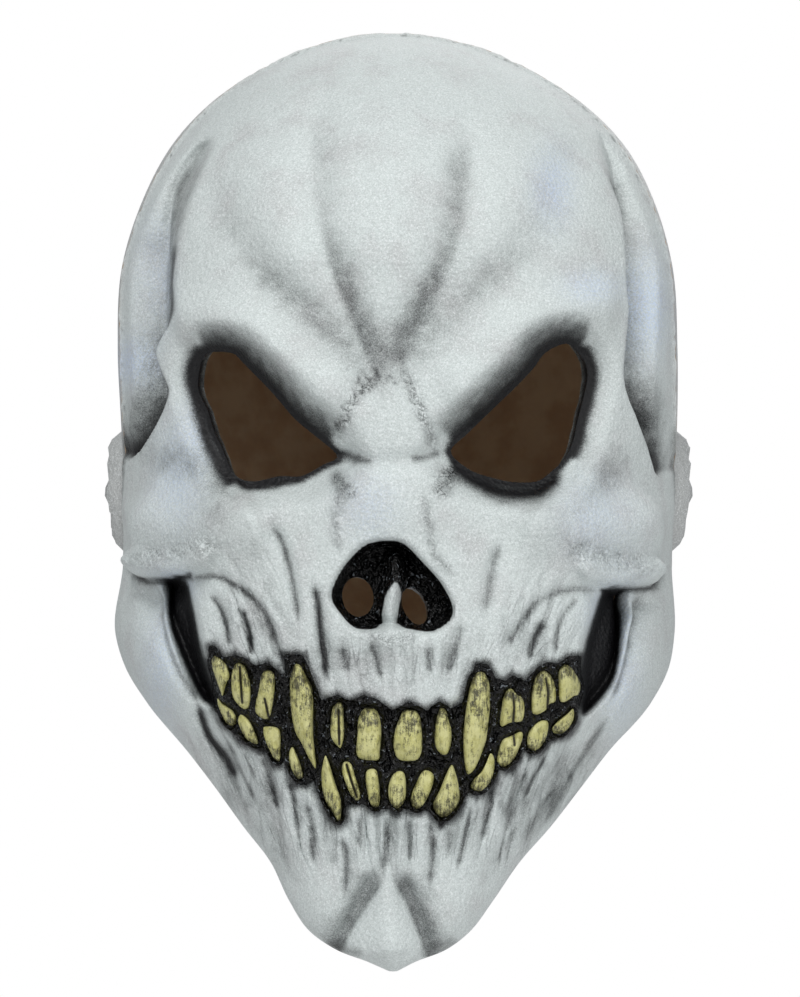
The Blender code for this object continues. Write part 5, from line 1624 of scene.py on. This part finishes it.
@dataclass
class Teeth:
    """A row of raised teeth in their gum."""

    row: ToothRow
    forms: tuple[ToothForm, ...]
    enamel: bpy.types.Material
    skin: BVHTree
    sight: Sight = Sight()
    corners: int = 60
    shares: tuple[float, ...] = (1.0, 0.985, 0.95, 0.9, 0.83, 0.74, 0.64, 0.53, 0.42, 0.3, 0.18, 0.07)
    rooting: float = 1.0
    dome_flatness: float = 2.6
    dome_fullness: float = 0.6
    rib_depth: float = 0.5
    slit_depth: float = 1.3
    slit_width: float = 0.4

    def seat(self, across: Array, height: Array) -> Array:
        """Fit a smooth surface to the gum under a tooth.

        Args:
            across: Distances to the right of places on the tooth.
            height: Heights of the places.

        Returns:
            How far each place is from the viewing eye when it lies on the gum.
        """
        eye = Vector((0.0, self.sight.plane_y - self.sight.distance, self.sight.height + EYE_LINE_Z)) * MM
        ways = self.ways(across, height)
        hits = [self.skin.ray_cast(eye, Vector(way))[3] for way in ways]
        found = np.array([hit is not None for hit in hits])
        depth = np.array([hit or 0.0 for hit in hits]) / MM
        u, v = across - across.mean(), height - height.mean()
        terms = np.column_stack((np.ones(len(u)), u, v, u * u, v * v, u * v))
        fit, *_ = np.linalg.lstsq(terms[found], depth[found], rcond=None)
        return terms @ fit

    def ways(self, across: Array, height: Array) -> Array:
        """Find the directions of sight to places on the face.

        Args:
            across: The places' distances to the right.
            height: The places' heights.

        Returns:
            Directions of length 1, one a row.
        """
        ahead = np.full(len(across), self.sight.distance)
        ways = np.column_stack((across, ahead, height - self.sight.height))
        return ways / np.linalg.norm(ways, axis=1, keepdims=True)

    def front_height(self, form: ToothForm, rings: Array, seed: int) -> Array:
        """Dome a tooth, with ribs and slits down it.

        Args:
            form: The tooth.
            rings: Across and height of its places, ring by ring.
            seed: Picks its unevenness.

        Returns:
            How far each place stands off the gum.
        """
        shares = np.asarray(self.shares)[:, None]
        dome = form.proud * (1.0 - shares**self.dome_flatness) ** self.dome_fullness
        u, v = rings[..., 0].ravel(), rings[..., 1].ravel()
        ribs = lattice_noise(np.column_stack((u * 1.5, v * 0.35, u * 0.0)) + seed, 1.0, seed) - 0.5
        lumps = lattice_noise(np.column_stack((u, v, u * 0.0)) + seed, 1.6, seed + 1) - 0.5
        height = dome + (self.rib_depth * (ribs + lumps)).reshape(dome.shape[0], -1) * np.minimum(dome, 1.0)
        for slit in form.slits:
            gap, _, _ = line_distance(u, v, np.asarray(slit, float))
            cut = self.slit_depth * np.exp(-((gap / self.slit_width) ** 2)).reshape(height.shape)
            height = height - np.minimum(cut, dome * 0.75)
        return height

    def mesh(self, form: ToothForm, name: str, seed: int) -> bpy.types.Mesh:
        """Model one closed tooth.

        Args:
            form: The tooth.
            name: The mesh's name.
            seed: Picks its unevenness.

        Returns:
            The mesh, in metres.
        """
        ring = closed_curve(form.outline, self.corners)
        centre = 0.5 * (ring.min(axis=0) + ring.max(axis=0))
        rings = centre + np.asarray(self.shares)[:, None, None] * (ring - centre)
        height = self.front_height(form, rings, seed)
        flat = rings.reshape(-1, 2)
        gum = self.seat(flat[:, 0], flat[:, 1])
        front = self.ways(flat[:, 0], flat[:, 1]) * (gum - height.ravel())[:, None]
        back = self.ways(ring[:, 0], ring[:, 1]) * (gum[:self.corners] + self.rooting)[:, None]
        ends = (back.mean(axis=0)[None, :], front[-self.corners:].mean(axis=0)[None, :])
        places = np.concatenate((ends[0], back, front, ends[1]))
        places += np.array((0.0, self.sight.plane_y - self.sight.distance, self.sight.height + EYE_LINE_Z))
        levels = len(self.shares) + 1
        start = [1 + self.corners * level for level in range(levels)]
        faces = []
        for corner in range(self.corners):
            beside = (corner + 1) % self.corners
            faces.append((0, start[0] + corner, start[0] + beside))
            faces.append((len(places) - 1, start[-1] + beside, start[-1] + corner))
            for near, far in zip(start[:-1], start[1:]):
                faces.append((near + beside, near + corner, far + corner, far + beside))
        body = bmesh.new()
        vertices = [body.verts.new(place * MM) for place in places]
        for face in faces:
            body.faces.new([vertices[index] for index in face])
        bmesh.ops.recalc_face_normals(body, faces=body.faces)
        mesh = bpy.data.meshes.new(name)
        body.to_mesh(mesh)
        body.free()
        mesh.shade_smooth()
        self.paint(mesh, form, np.concatenate((ring[:1], ring, flat, flat[-1:])))
        return mesh

    def paint(self, mesh: bpy.types.Mesh, form: ToothForm, flat: Array) -> None:
        """Store how far each point is from the root to the tip, and how deep in a slit.

        Args:
            mesh: The tooth.
            form: Its outline and slits.
            flat: Across and height of each point.
        """
        low, high = flat[:, 1].min(), flat[:, 1].max()
        tipward = (high - flat[:, 1]) / (high - low)
        if self.row is ToothRow.LOWER:
            tipward = 1.0 - tipward
        slit = np.zeros(len(flat))
        for line in form.slits:
            gap, _, _ = line_distance(flat[:, 0], flat[:, 1], np.asarray(line, float))
            slit = np.maximum(slit, np.exp(-((gap / self.slit_width) ** 2)))
        layers = {"tipward": tipward, "slit": slit, "flow": flat[:, 0], "level": flat[:, 1]}
        for name, values in layers.items():
            store(mesh, name, values)

    def build(self) -> None:
        """Make every tooth of the row."""
        for number, form in enumerate(self.forms, 1):
            node = f"{self.row.value}_{number:02d}"
            mesh = self.mesh(form, f"{node}_enamel", 7 * number + len(self.forms))
            mesh.materials.append(self.enamel)
            dress(bpy.data.objects.new(mesh.name, mesh), node)


@dataclass(frozen=True)
class Signal:
    """What a node gives out, which sums are done with by plain signs."""

    bench: "NodeBench"
    socket: bpy.types.NodeSocket

    def __add__(self, other: "Signal | float") -> "Signal":
        """Add a signal or a number."""
        return self.bench.sum("ADD", self, other)

    def __mul__(self, other: "Signal | float") -> "Signal":
        """Multiply by a signal or a number."""
        return self.bench.sum("MULTIPLY", self, other)

    def __sub__(self, other: "Signal | float") -> "Signal":
        """Take away a signal or a number."""
        return self.bench.sum("SUBTRACT", self, other)

    def __rsub__(self, other: float) -> "Signal":
        """Take this signal away from a number."""
        return self.bench.sum("SUBTRACT", other, self)

    def at_most(self, other: float) -> "Signal":
        """Take the smaller of this signal and a number."""
        return self.bench.sum("MINIMUM", self, other)

    def at_least(self, other: "Signal") -> "Signal":
        """Take the larger of two signals."""
        return self.bench.sum("MAXIMUM", self, other)

    def line(self, width: float) -> "Signal":
        """Draw a line where noise passes through its middle, 1 on the line."""
        return self.bench.sum("ABSOLUTE", self - 0.5, 0.0).remap(0.0, width, 1.0, 0.0)

    def remap(self, low: float, high: float, new_low: float = 0.0, new_high: float = 1.0) -> "Signal":
        """Stretch numbers from one range to another with eased ends.

        Args:
            low: Becomes new_low.
            high: Becomes new_high.
            new_low: Low end of the result.
            new_high: High end of the result.

        Returns:
            The stretched numbers.
        """
        inputs = {"Value": self, "From Min": low, "From Max": high, "To Min": new_low, "To Max": new_high}
        return self.bench.node("ShaderNodeMapRange", "Result", inputs, interpolation_type="SMOOTHSTEP")


class NodeBench:
    """A material under construction, with short calls for the nodes that the finishes share."""

    def __init__(self, name: str) -> None:
        """Start a material with its Principled shader.

        Args:
            name: The material's name.
        """
        self.material = bpy.data.materials.new(name)
        self.material.use_nodes = True
        self.tree = self.material.node_tree
        self.shader = self.tree.nodes["Principled BSDF"]
        self.place = Signal(self, self.tree.nodes.new("ShaderNodeTexCoord").outputs["Object"])

    def give(self, socket: bpy.types.NodeSocket, given: Signal | Colour | float) -> None:
        """Link a signal to an input, or set the input to a constant.

        Args:
            socket: The input.
            given: What the input is given.
        """
        if isinstance(given, Signal):
            self.tree.links.new(given.socket, socket)
        else:
            socket.default_value = (*given, 1.0) if isinstance(given, tuple) else given

    def node(
        self, kind: str, output: str | int, inputs: dict[str | int, object], **settings: object
    ) -> Signal:
        """Make one node.

        Args:
            kind: The node's type.
            output: The output that is wanted.
            inputs: What each input is given.
            settings: The node's choices.

        Returns:
            The output.
        """
        node = self.tree.nodes.new(kind)
        for name, choice in settings.items():
            setattr(node, name, choice)
        for name, given in inputs.items():
            self.give(node.inputs[name], given)
        return Signal(self, node.outputs[output])

    def sum(self, operation: str, first: Signal | float, second: Signal | float) -> Signal:
        """Do one sum, named by its operation."""
        return self.node("ShaderNodeMath", 0, {0: first, 1: second}, operation=operation)

    def attribute(self, name: str) -> Signal:
        """Read a number stored on the mesh's points."""
        return self.node("ShaderNodeAttribute", "Fac", {}, attribute_name=name)

    def noise(self, size: float, detail: float = 2.0, roughness: float = 0.5, bend: float = 0.0) -> Signal:
        """Make cloudy noise, 0 to 1.

        Args:
            size: Width of a lump in metres.
            detail: Number of finer layers.
            roughness: Strength of the finer layers.
            bend: How far the pattern is bent out of shape.

        Returns:
            The noise.
        """
        inputs = {
            "Vector": self.place, "Scale": 1.0 / size, "Detail": detail, "Roughness": roughness,
            "Distortion": bend,
        }
        return self.node("ShaderNodeTexNoise", "Fac", inputs)

    def streaks(self, spacing: float, length: float) -> Signal:
        """Draw thin creases along the lines that the mesh numbers.

        Args:
            spacing: Numbers from one streak to the next.
            length: Length of a streak.

        Returns:
            Numbers from 0 to 1, highest along a crease.
        """
        sides = {0: self.attribute("flow") * (1.0 / spacing), 1: self.attribute("level") * (1.0 / length)}
        place = self.node("ShaderNodeCombineXYZ", 0, sides)
        inputs = {"Vector": place, "Scale": 1.0, "Detail": 2.0, "Distortion": 0.4}
        return self.node("ShaderNodeTexNoise", "Fac", inputs).line(0.09)

    def cells(self, size: float) -> Signal:
        """Make pebbled cells of a given size in metres."""
        return self.node("ShaderNodeTexVoronoi", "Distance", {"Vector": self.place, "Scale": 1.0 / size})

    def blend(self, share: Signal | float, first: Signal | Colour, second: Signal | Colour) -> Signal:
        """Mix two colours.

        Args:
            share: 0 for the first colour, 1 for the second.
            first: A colour.
            second: A colour.

        Returns:
            The mixed colour.
        """
        return self.node("ShaderNodeMix", 2, {0: share, 6: first, 7: second}, data_type="RGBA")

    def finish(
        self, roughness: Signal | float, colour: Signal, height: Signal, depth: float, strength: float
    ) -> None:
        """Wire the shader.

        Args:
            roughness: The surface's roughness.
            colour: Its colour.
            height: Its relief, 0 to 1.
            depth: Depth of the relief in metres.
            strength: Strength of the relief.
        """
        relief = {"Height": height, "Distance": depth, "Strength": strength}
        self.give(self.shader.inputs["Base Color"], colour)
        self.give(self.shader.inputs["Roughness"], roughness)
        self.give(self.shader.inputs["Normal"], self.node("ShaderNodeBump", "Normal", relief))


@dataclass(frozen=True)
class BonePaint:
    """Pearly white paint with grainy black airbrush, a painted bluish sheen, and black lacquer on gums and
    nose with painted glints.
    """

    name: str
    white: Colour = (0.76, 0.825, 0.81)
    grey: Colour = (0.66, 0.685, 0.68)
    flake: Colour = (0.92, 0.95, 0.96)
    sheen_blue: Colour = (0.62, 0.74, 0.95)
    soot: Colour = (0.007, 0.007, 0.008)
    lacquer_black: Colour = (0.002, 0.002, 0.002)
    lacquer_glint: Colour = (0.34, 0.38, 0.42)
    crust_grey: Colour = (0.72, 0.73, 0.71)
    cap_grey: Colour = (0.60, 0.61, 0.60)
    cap_share: float = 0.0
    crust_share: float = 0.6
    sheen_share: float = 0.85
    crease_tone: float = 0.12
    gloss: float = 0.1
    specular: float = 0.28
    mottle: float = 0.014
    cloud: float = 0.004
    speckle: float = 0.00032
    grain: float = 0.0009
    bead: float = 0.0013
    relief: float = 0.0005

    def body(self, bench: NodeBench) -> Signal:
        """Mottle the white, with flakes and grey dust.

        Args:
            bench: The material under construction.

        Returns:
            The colour of the paint before any black goes on.
        """
        body = bench.blend(bench.noise(self.mottle, 4.0, 0.6).remap(0.42, 0.8), self.white, self.grey)
        if self.cap_share:
            body = bench.blend(self.cap_share, body, self.cap_grey)
        dust = bench.noise(self.grain * 0.5, 4.0, 0.8).remap(0.3, 0.64, 0.28, 0.0)
        body = bench.blend(dust, body, self.soot)
        flakes = bench.noise(self.grain * 0.5, 3.0, 0.8).remap(0.54, 0.66, 0.0, 0.8)
        body = bench.blend(flakes, body, self.flake)
        return bench.blend(bench.attribute("crust") * self.crust_share, body, self.crust_grey)

    def density(self, bench: NodeBench, creases: Signal) -> Signal:
        """Break the airbrushed tone up into grainy speckles.

        Args:
            bench: The material under construction.
            creases: Where thin creases hold more of the black.

        Returns:
            How black the paint is, 0 to 1.
        """
        tone = (creases * self.crease_tone + bench.attribute("tone")).at_most(1.0)
        swing = tone * (1.0 - tone) * 4.2
        jitter = (bench.noise(self.speckle, 4.0, 0.75) - 0.5) * swing
        drift = (bench.noise(self.cloud, 3.0, 0.6) - 0.5) * (swing * 0.45)
        return (tone + jitter + drift).remap(0.03, 0.97)

    def material(self) -> bpy.types.Material:
        """Build the material.

        Returns:
            The finished material.
        """
        bench = NodeBench(self.name)
        creases = bench.streaks(2.6, 12.0) * bench.attribute("creased")
        scribble = bench.noise(0.0011, 1.0, 0.5, 1.2).line(0.06) * bench.attribute("scribble")
        dark = self.density(bench, creases + scribble * 3.2)
        painted = bench.blend(dark, self.body(bench), self.soot)
        # painted sheen: light-blue glints mixed into the colour at the sheen spots, kept off the black
        glints = bench.noise(0.0006, 3.0, 0.8).remap(0.44, 0.6, 0.25, 1.0)
        bare = (1.0 - dark) * bench.attribute("sheen")
        painted = bench.blend(glints * bare * self.sheen_share, painted, self.sheen_blue)
        wander = (bench.noise(0.0015, 3.0, 0.6) - 0.5) * 0.1
        gum = (bench.attribute("gum") + wander).remap(0.488, 0.512)
        lacquer = gum.at_least(bench.attribute("lacquer").remap(0.35, 0.6))
        # painted highlights: light grey glints speckled into the black lacquer
        flecks = bench.noise(self.bead, 2.0, 0.7).remap(0.63, 0.72, 0.0, 0.6)
        colour = bench.blend(lacquer, painted, bench.blend(flecks, self.lacquer_black, self.lacquer_glint))
        satin = bench.noise(self.speckle, 4.0, 0.75).remap(0.3, 0.7, 0.3, 0.5)
        rough = satin + lacquer * (self.gloss - satin)
        grain = (bench.noise(self.grain, 4.0, 0.7) + bench.cells(self.grain * 1.3)) * 0.5
        beads = bench.noise(self.bead, 1.0, 0.5) * lacquer * 5.0
        bench.finish(rough, colour, grain - (creases * 0.5 + scribble) + beads, self.relief, 0.9)
        bench.shader.inputs["Specular IOR Level"].default_value = self.specular
        return bench.material


@dataclass(frozen=True)
class RawLatex:
    """Unpainted tan latex on the inside and at the cut edges, its tan darker than raw latex as painted
    shade for the dim inside.
    """

    # the tan is darker than raw latex, painted shade for the dim inside
    tan: Colour = (0.42, 0.29, 0.18)
    cream: Colour = (0.52, 0.40, 0.27)
    roughness: float = 0.6
    relief: float = 0.0002

    def material(self) -> bpy.types.Material:
        """Build the material.

        Returns:
            The finished material.
        """
        bench = NodeBench("raw_latex")
        cloud = bench.noise(0.015, 4.0, 0.6).remap(0.35, 0.65)
        pores = bench.noise(0.0015, 3.0, 0.6)
        bench.finish(self.roughness, bench.blend(cloud, self.tan, self.cream), pores, self.relief, 0.5)
        return bench.material


@dataclass(frozen=True)
class ToothEnamel:
    """Aged yellow paint with grainy black dry-brushed over it, thickest near the gum."""

    yellow: Colour = (0.62, 0.60, 0.235)
    pale: Colour = (0.72, 0.70, 0.33)
    olive: Colour = (0.40, 0.38, 0.12)
    black: Colour = (0.03, 0.027, 0.016)
    relief: float = 0.00022

    def material(self) -> bpy.types.Material:
        """Build the material.

        Returns:
            The finished material.
        """
        bench = NodeBench("tooth_enamel")
        cloud = bench.noise(0.003, 4.0, 0.6).remap(0.35, 0.65)
        patches = bench.noise(0.0021, 3.0, 0.6).remap(0.5, 0.68, 0.0, 0.7)
        body = bench.blend(patches, bench.blend(cloud, self.yellow, self.pale), self.olive)
        root = bench.attribute("tipward").remap(0.0, 0.8, 0.26, 0.0)
        grain = bench.noise(0.0004, 4.0, 0.8) + bench.noise(0.0022, 3.0, 0.6)
        specks = (grain + root + bench.streaks(0.9, 6.0) * 0.16).remap(1.07, 1.44, 0.0, 0.92)
        dirt = specks.at_least(bench.attribute("slit").remap(0.3, 0.8))
        colour = bench.blend(dirt, body, self.black)
        rough = cloud.remap(0.0, 1.0, 0.26, 0.4)
        bench.finish(rough, colour, bench.noise(0.0007, 4.0, 0.65), self.relief, 0.7)
        return bench.material


class Lamp(NamedTuple):
    """A square soft light that faces the mask, in metres and watts."""

    name: str
    place: tuple[float, float, float]
    size: float
    watts: float


LAMPS = (
    Lamp("key", (-0.3, -1.2, 1.05), 0.7, 11.3),
    Lamp("fill", (0.9, -1.3, 0.25), 0.8, 4.6),
    Lamp("left", (-1.3, -0.7, 0.0), 0.9, 3.2),
    Lamp("right", (1.3, -0.7, 0.0), 0.9, 3.2),
    Lamp("top", (0.0, -0.3, 1.3), 0.8, 3.5),
    Lamp("back", (0.2, 1.4, 0.6), 1.0, 4.0),
)


@dataclass
class Studio:
    """Pale floor, soft light and the camera at the photograph's angle."""

    picture_centre_across: float = 1.75
    picture_centre_height: float = -20.9
    picture_height: float = 249.25
    floor_drop: float = 0.45
    floor_radius: float = 0.9
    sight: Sight = Sight()

    def floor(self) -> None:
        """Lay a plain pale disc below the mask."""
        body = bmesh.new()
        bmesh.ops.create_circle(body, cap_ends=True, segments=96, radius=self.floor_radius)
        mesh = bpy.data.meshes.new("floor")
        body.to_mesh(mesh)
        body.free()
        disc = bpy.data.objects.new("floor", mesh)
        disc.location = (0.0, 0.0, -self.floor_drop)
        bpy.context.scene.collection.objects.link(disc)
        bench = NodeBench("floor_paper")
        tint = bench.noise(0.05, 2.0, 0.5).remap(0.3, 0.7)
        colour = bench.blend(tint, (0.82, 0.82, 0.82), (0.86, 0.86, 0.86))
        bench.give(bench.shader.inputs["Base Color"], colour)
        bench.shader.inputs["Roughness"].default_value = 0.8
        mesh.materials.append(bench.material)

    def hang(self, lamp: Lamp) -> None:
        """Hang one soft light.

        Args:
            lamp: The light.
        """
        data = bpy.data.lights.new(lamp.name, "AREA")
        data.energy = lamp.watts
        data.size = lamp.size
        item = bpy.data.objects.new(lamp.name, data)
        item.location = lamp.place
        aim = Vector((0.0, -0.05, EYE_LINE_Z * MM)) - Vector(lamp.place)
        item.rotation_euler = aim.to_track_quat("-Z", "Y").to_euler()
        bpy.context.scene.collection.objects.link(item)

    def lights(self) -> None:
        """Light the mask softly from the front, the sides and above."""
        world = bpy.data.worlds.new("studio")
        bpy.context.scene.world = world
        world.use_nodes = True
        nodes, links = world.node_tree.nodes, world.node_tree.links
        seen = nodes["Background"]
        seen.inputs["Color"].default_value = (1.0, 1.0, 1.0, 1.0)
        seen.inputs["Strength"].default_value = 1.0
        glow = nodes.new("ShaderNodeBackground")
        glow.inputs["Color"].default_value = (0.95, 0.97, 1.0, 1.0)
        glow.inputs["Strength"].default_value = 0.24
        path = nodes.new("ShaderNodeLightPath")
        mix = nodes.new("ShaderNodeMixShader")
        links.new(path.outputs["Is Camera Ray"], mix.inputs[0])
        links.new(glow.outputs[0], mix.inputs[1])
        links.new(seen.outputs[0], mix.inputs[2])
        links.new(mix.outputs[0], nodes["World Output"].inputs["Surface"])
        for lamp in LAMPS:
            self.hang(lamp)

    def camera(self) -> None:
        """Put the camera straight ahead, framed as the photograph is."""
        data = bpy.data.cameras.new("camera")
        data.sensor_width = 36.0
        data.lens = data.sensor_width * self.sight.distance / self.picture_height
        camera = bpy.data.objects.new("camera", data)
        camera.location = (
            self.picture_centre_across * MM,
            (self.sight.plane_y - self.sight.distance) * MM,
            (self.picture_centre_height + EYE_LINE_Z) * MM,
        )
        camera.rotation_euler = (math.radians(90.0), 0.0, 0.0)
        bpy.context.scene.collection.objects.link(camera)
        bpy.context.scene.camera = camera

    def build(self) -> None:
        """Set the whole studio up."""
        self.floor()
        self.lights()
        self.camera()
        bpy.context.scene.view_settings.view_transform = "Standard"


def main() -> None:
    """Build every sub-assembly in order."""
    logging.basicConfig(level=logging.INFO, format="%(message)s")
    Studio().build()
    raw = RawLatex().material()
    face = SkinShell("face_latex", Side.FRONT, columns=316, rows=340, reach=112.0)
    front = face.build("face_skin", "bone_paint", BonePaint("bone_paint").material(), raw)
    gum = BVHTree.FromPolygons([vertex.co for vertex in front.data.vertices], [
        polygon.vertices for polygon in front.data.polygons
    ])
    rear = SkinShell("rear_latex", Side.REAR, columns=180, rows=150, reach=180.0)
    rear.build("rear_skin", "cap_paint", BonePaint("cap_paint", cap_share=0.8).material(), raw)
    enamel = ToothEnamel().material()
    Teeth(ToothRow.UPPER, UPPER_TEETH, enamel, gum).build()
    Teeth(ToothRow.LOWER, LOWER_TEETH, enamel, gum).build()


if __name__ == "__main__":
    main()
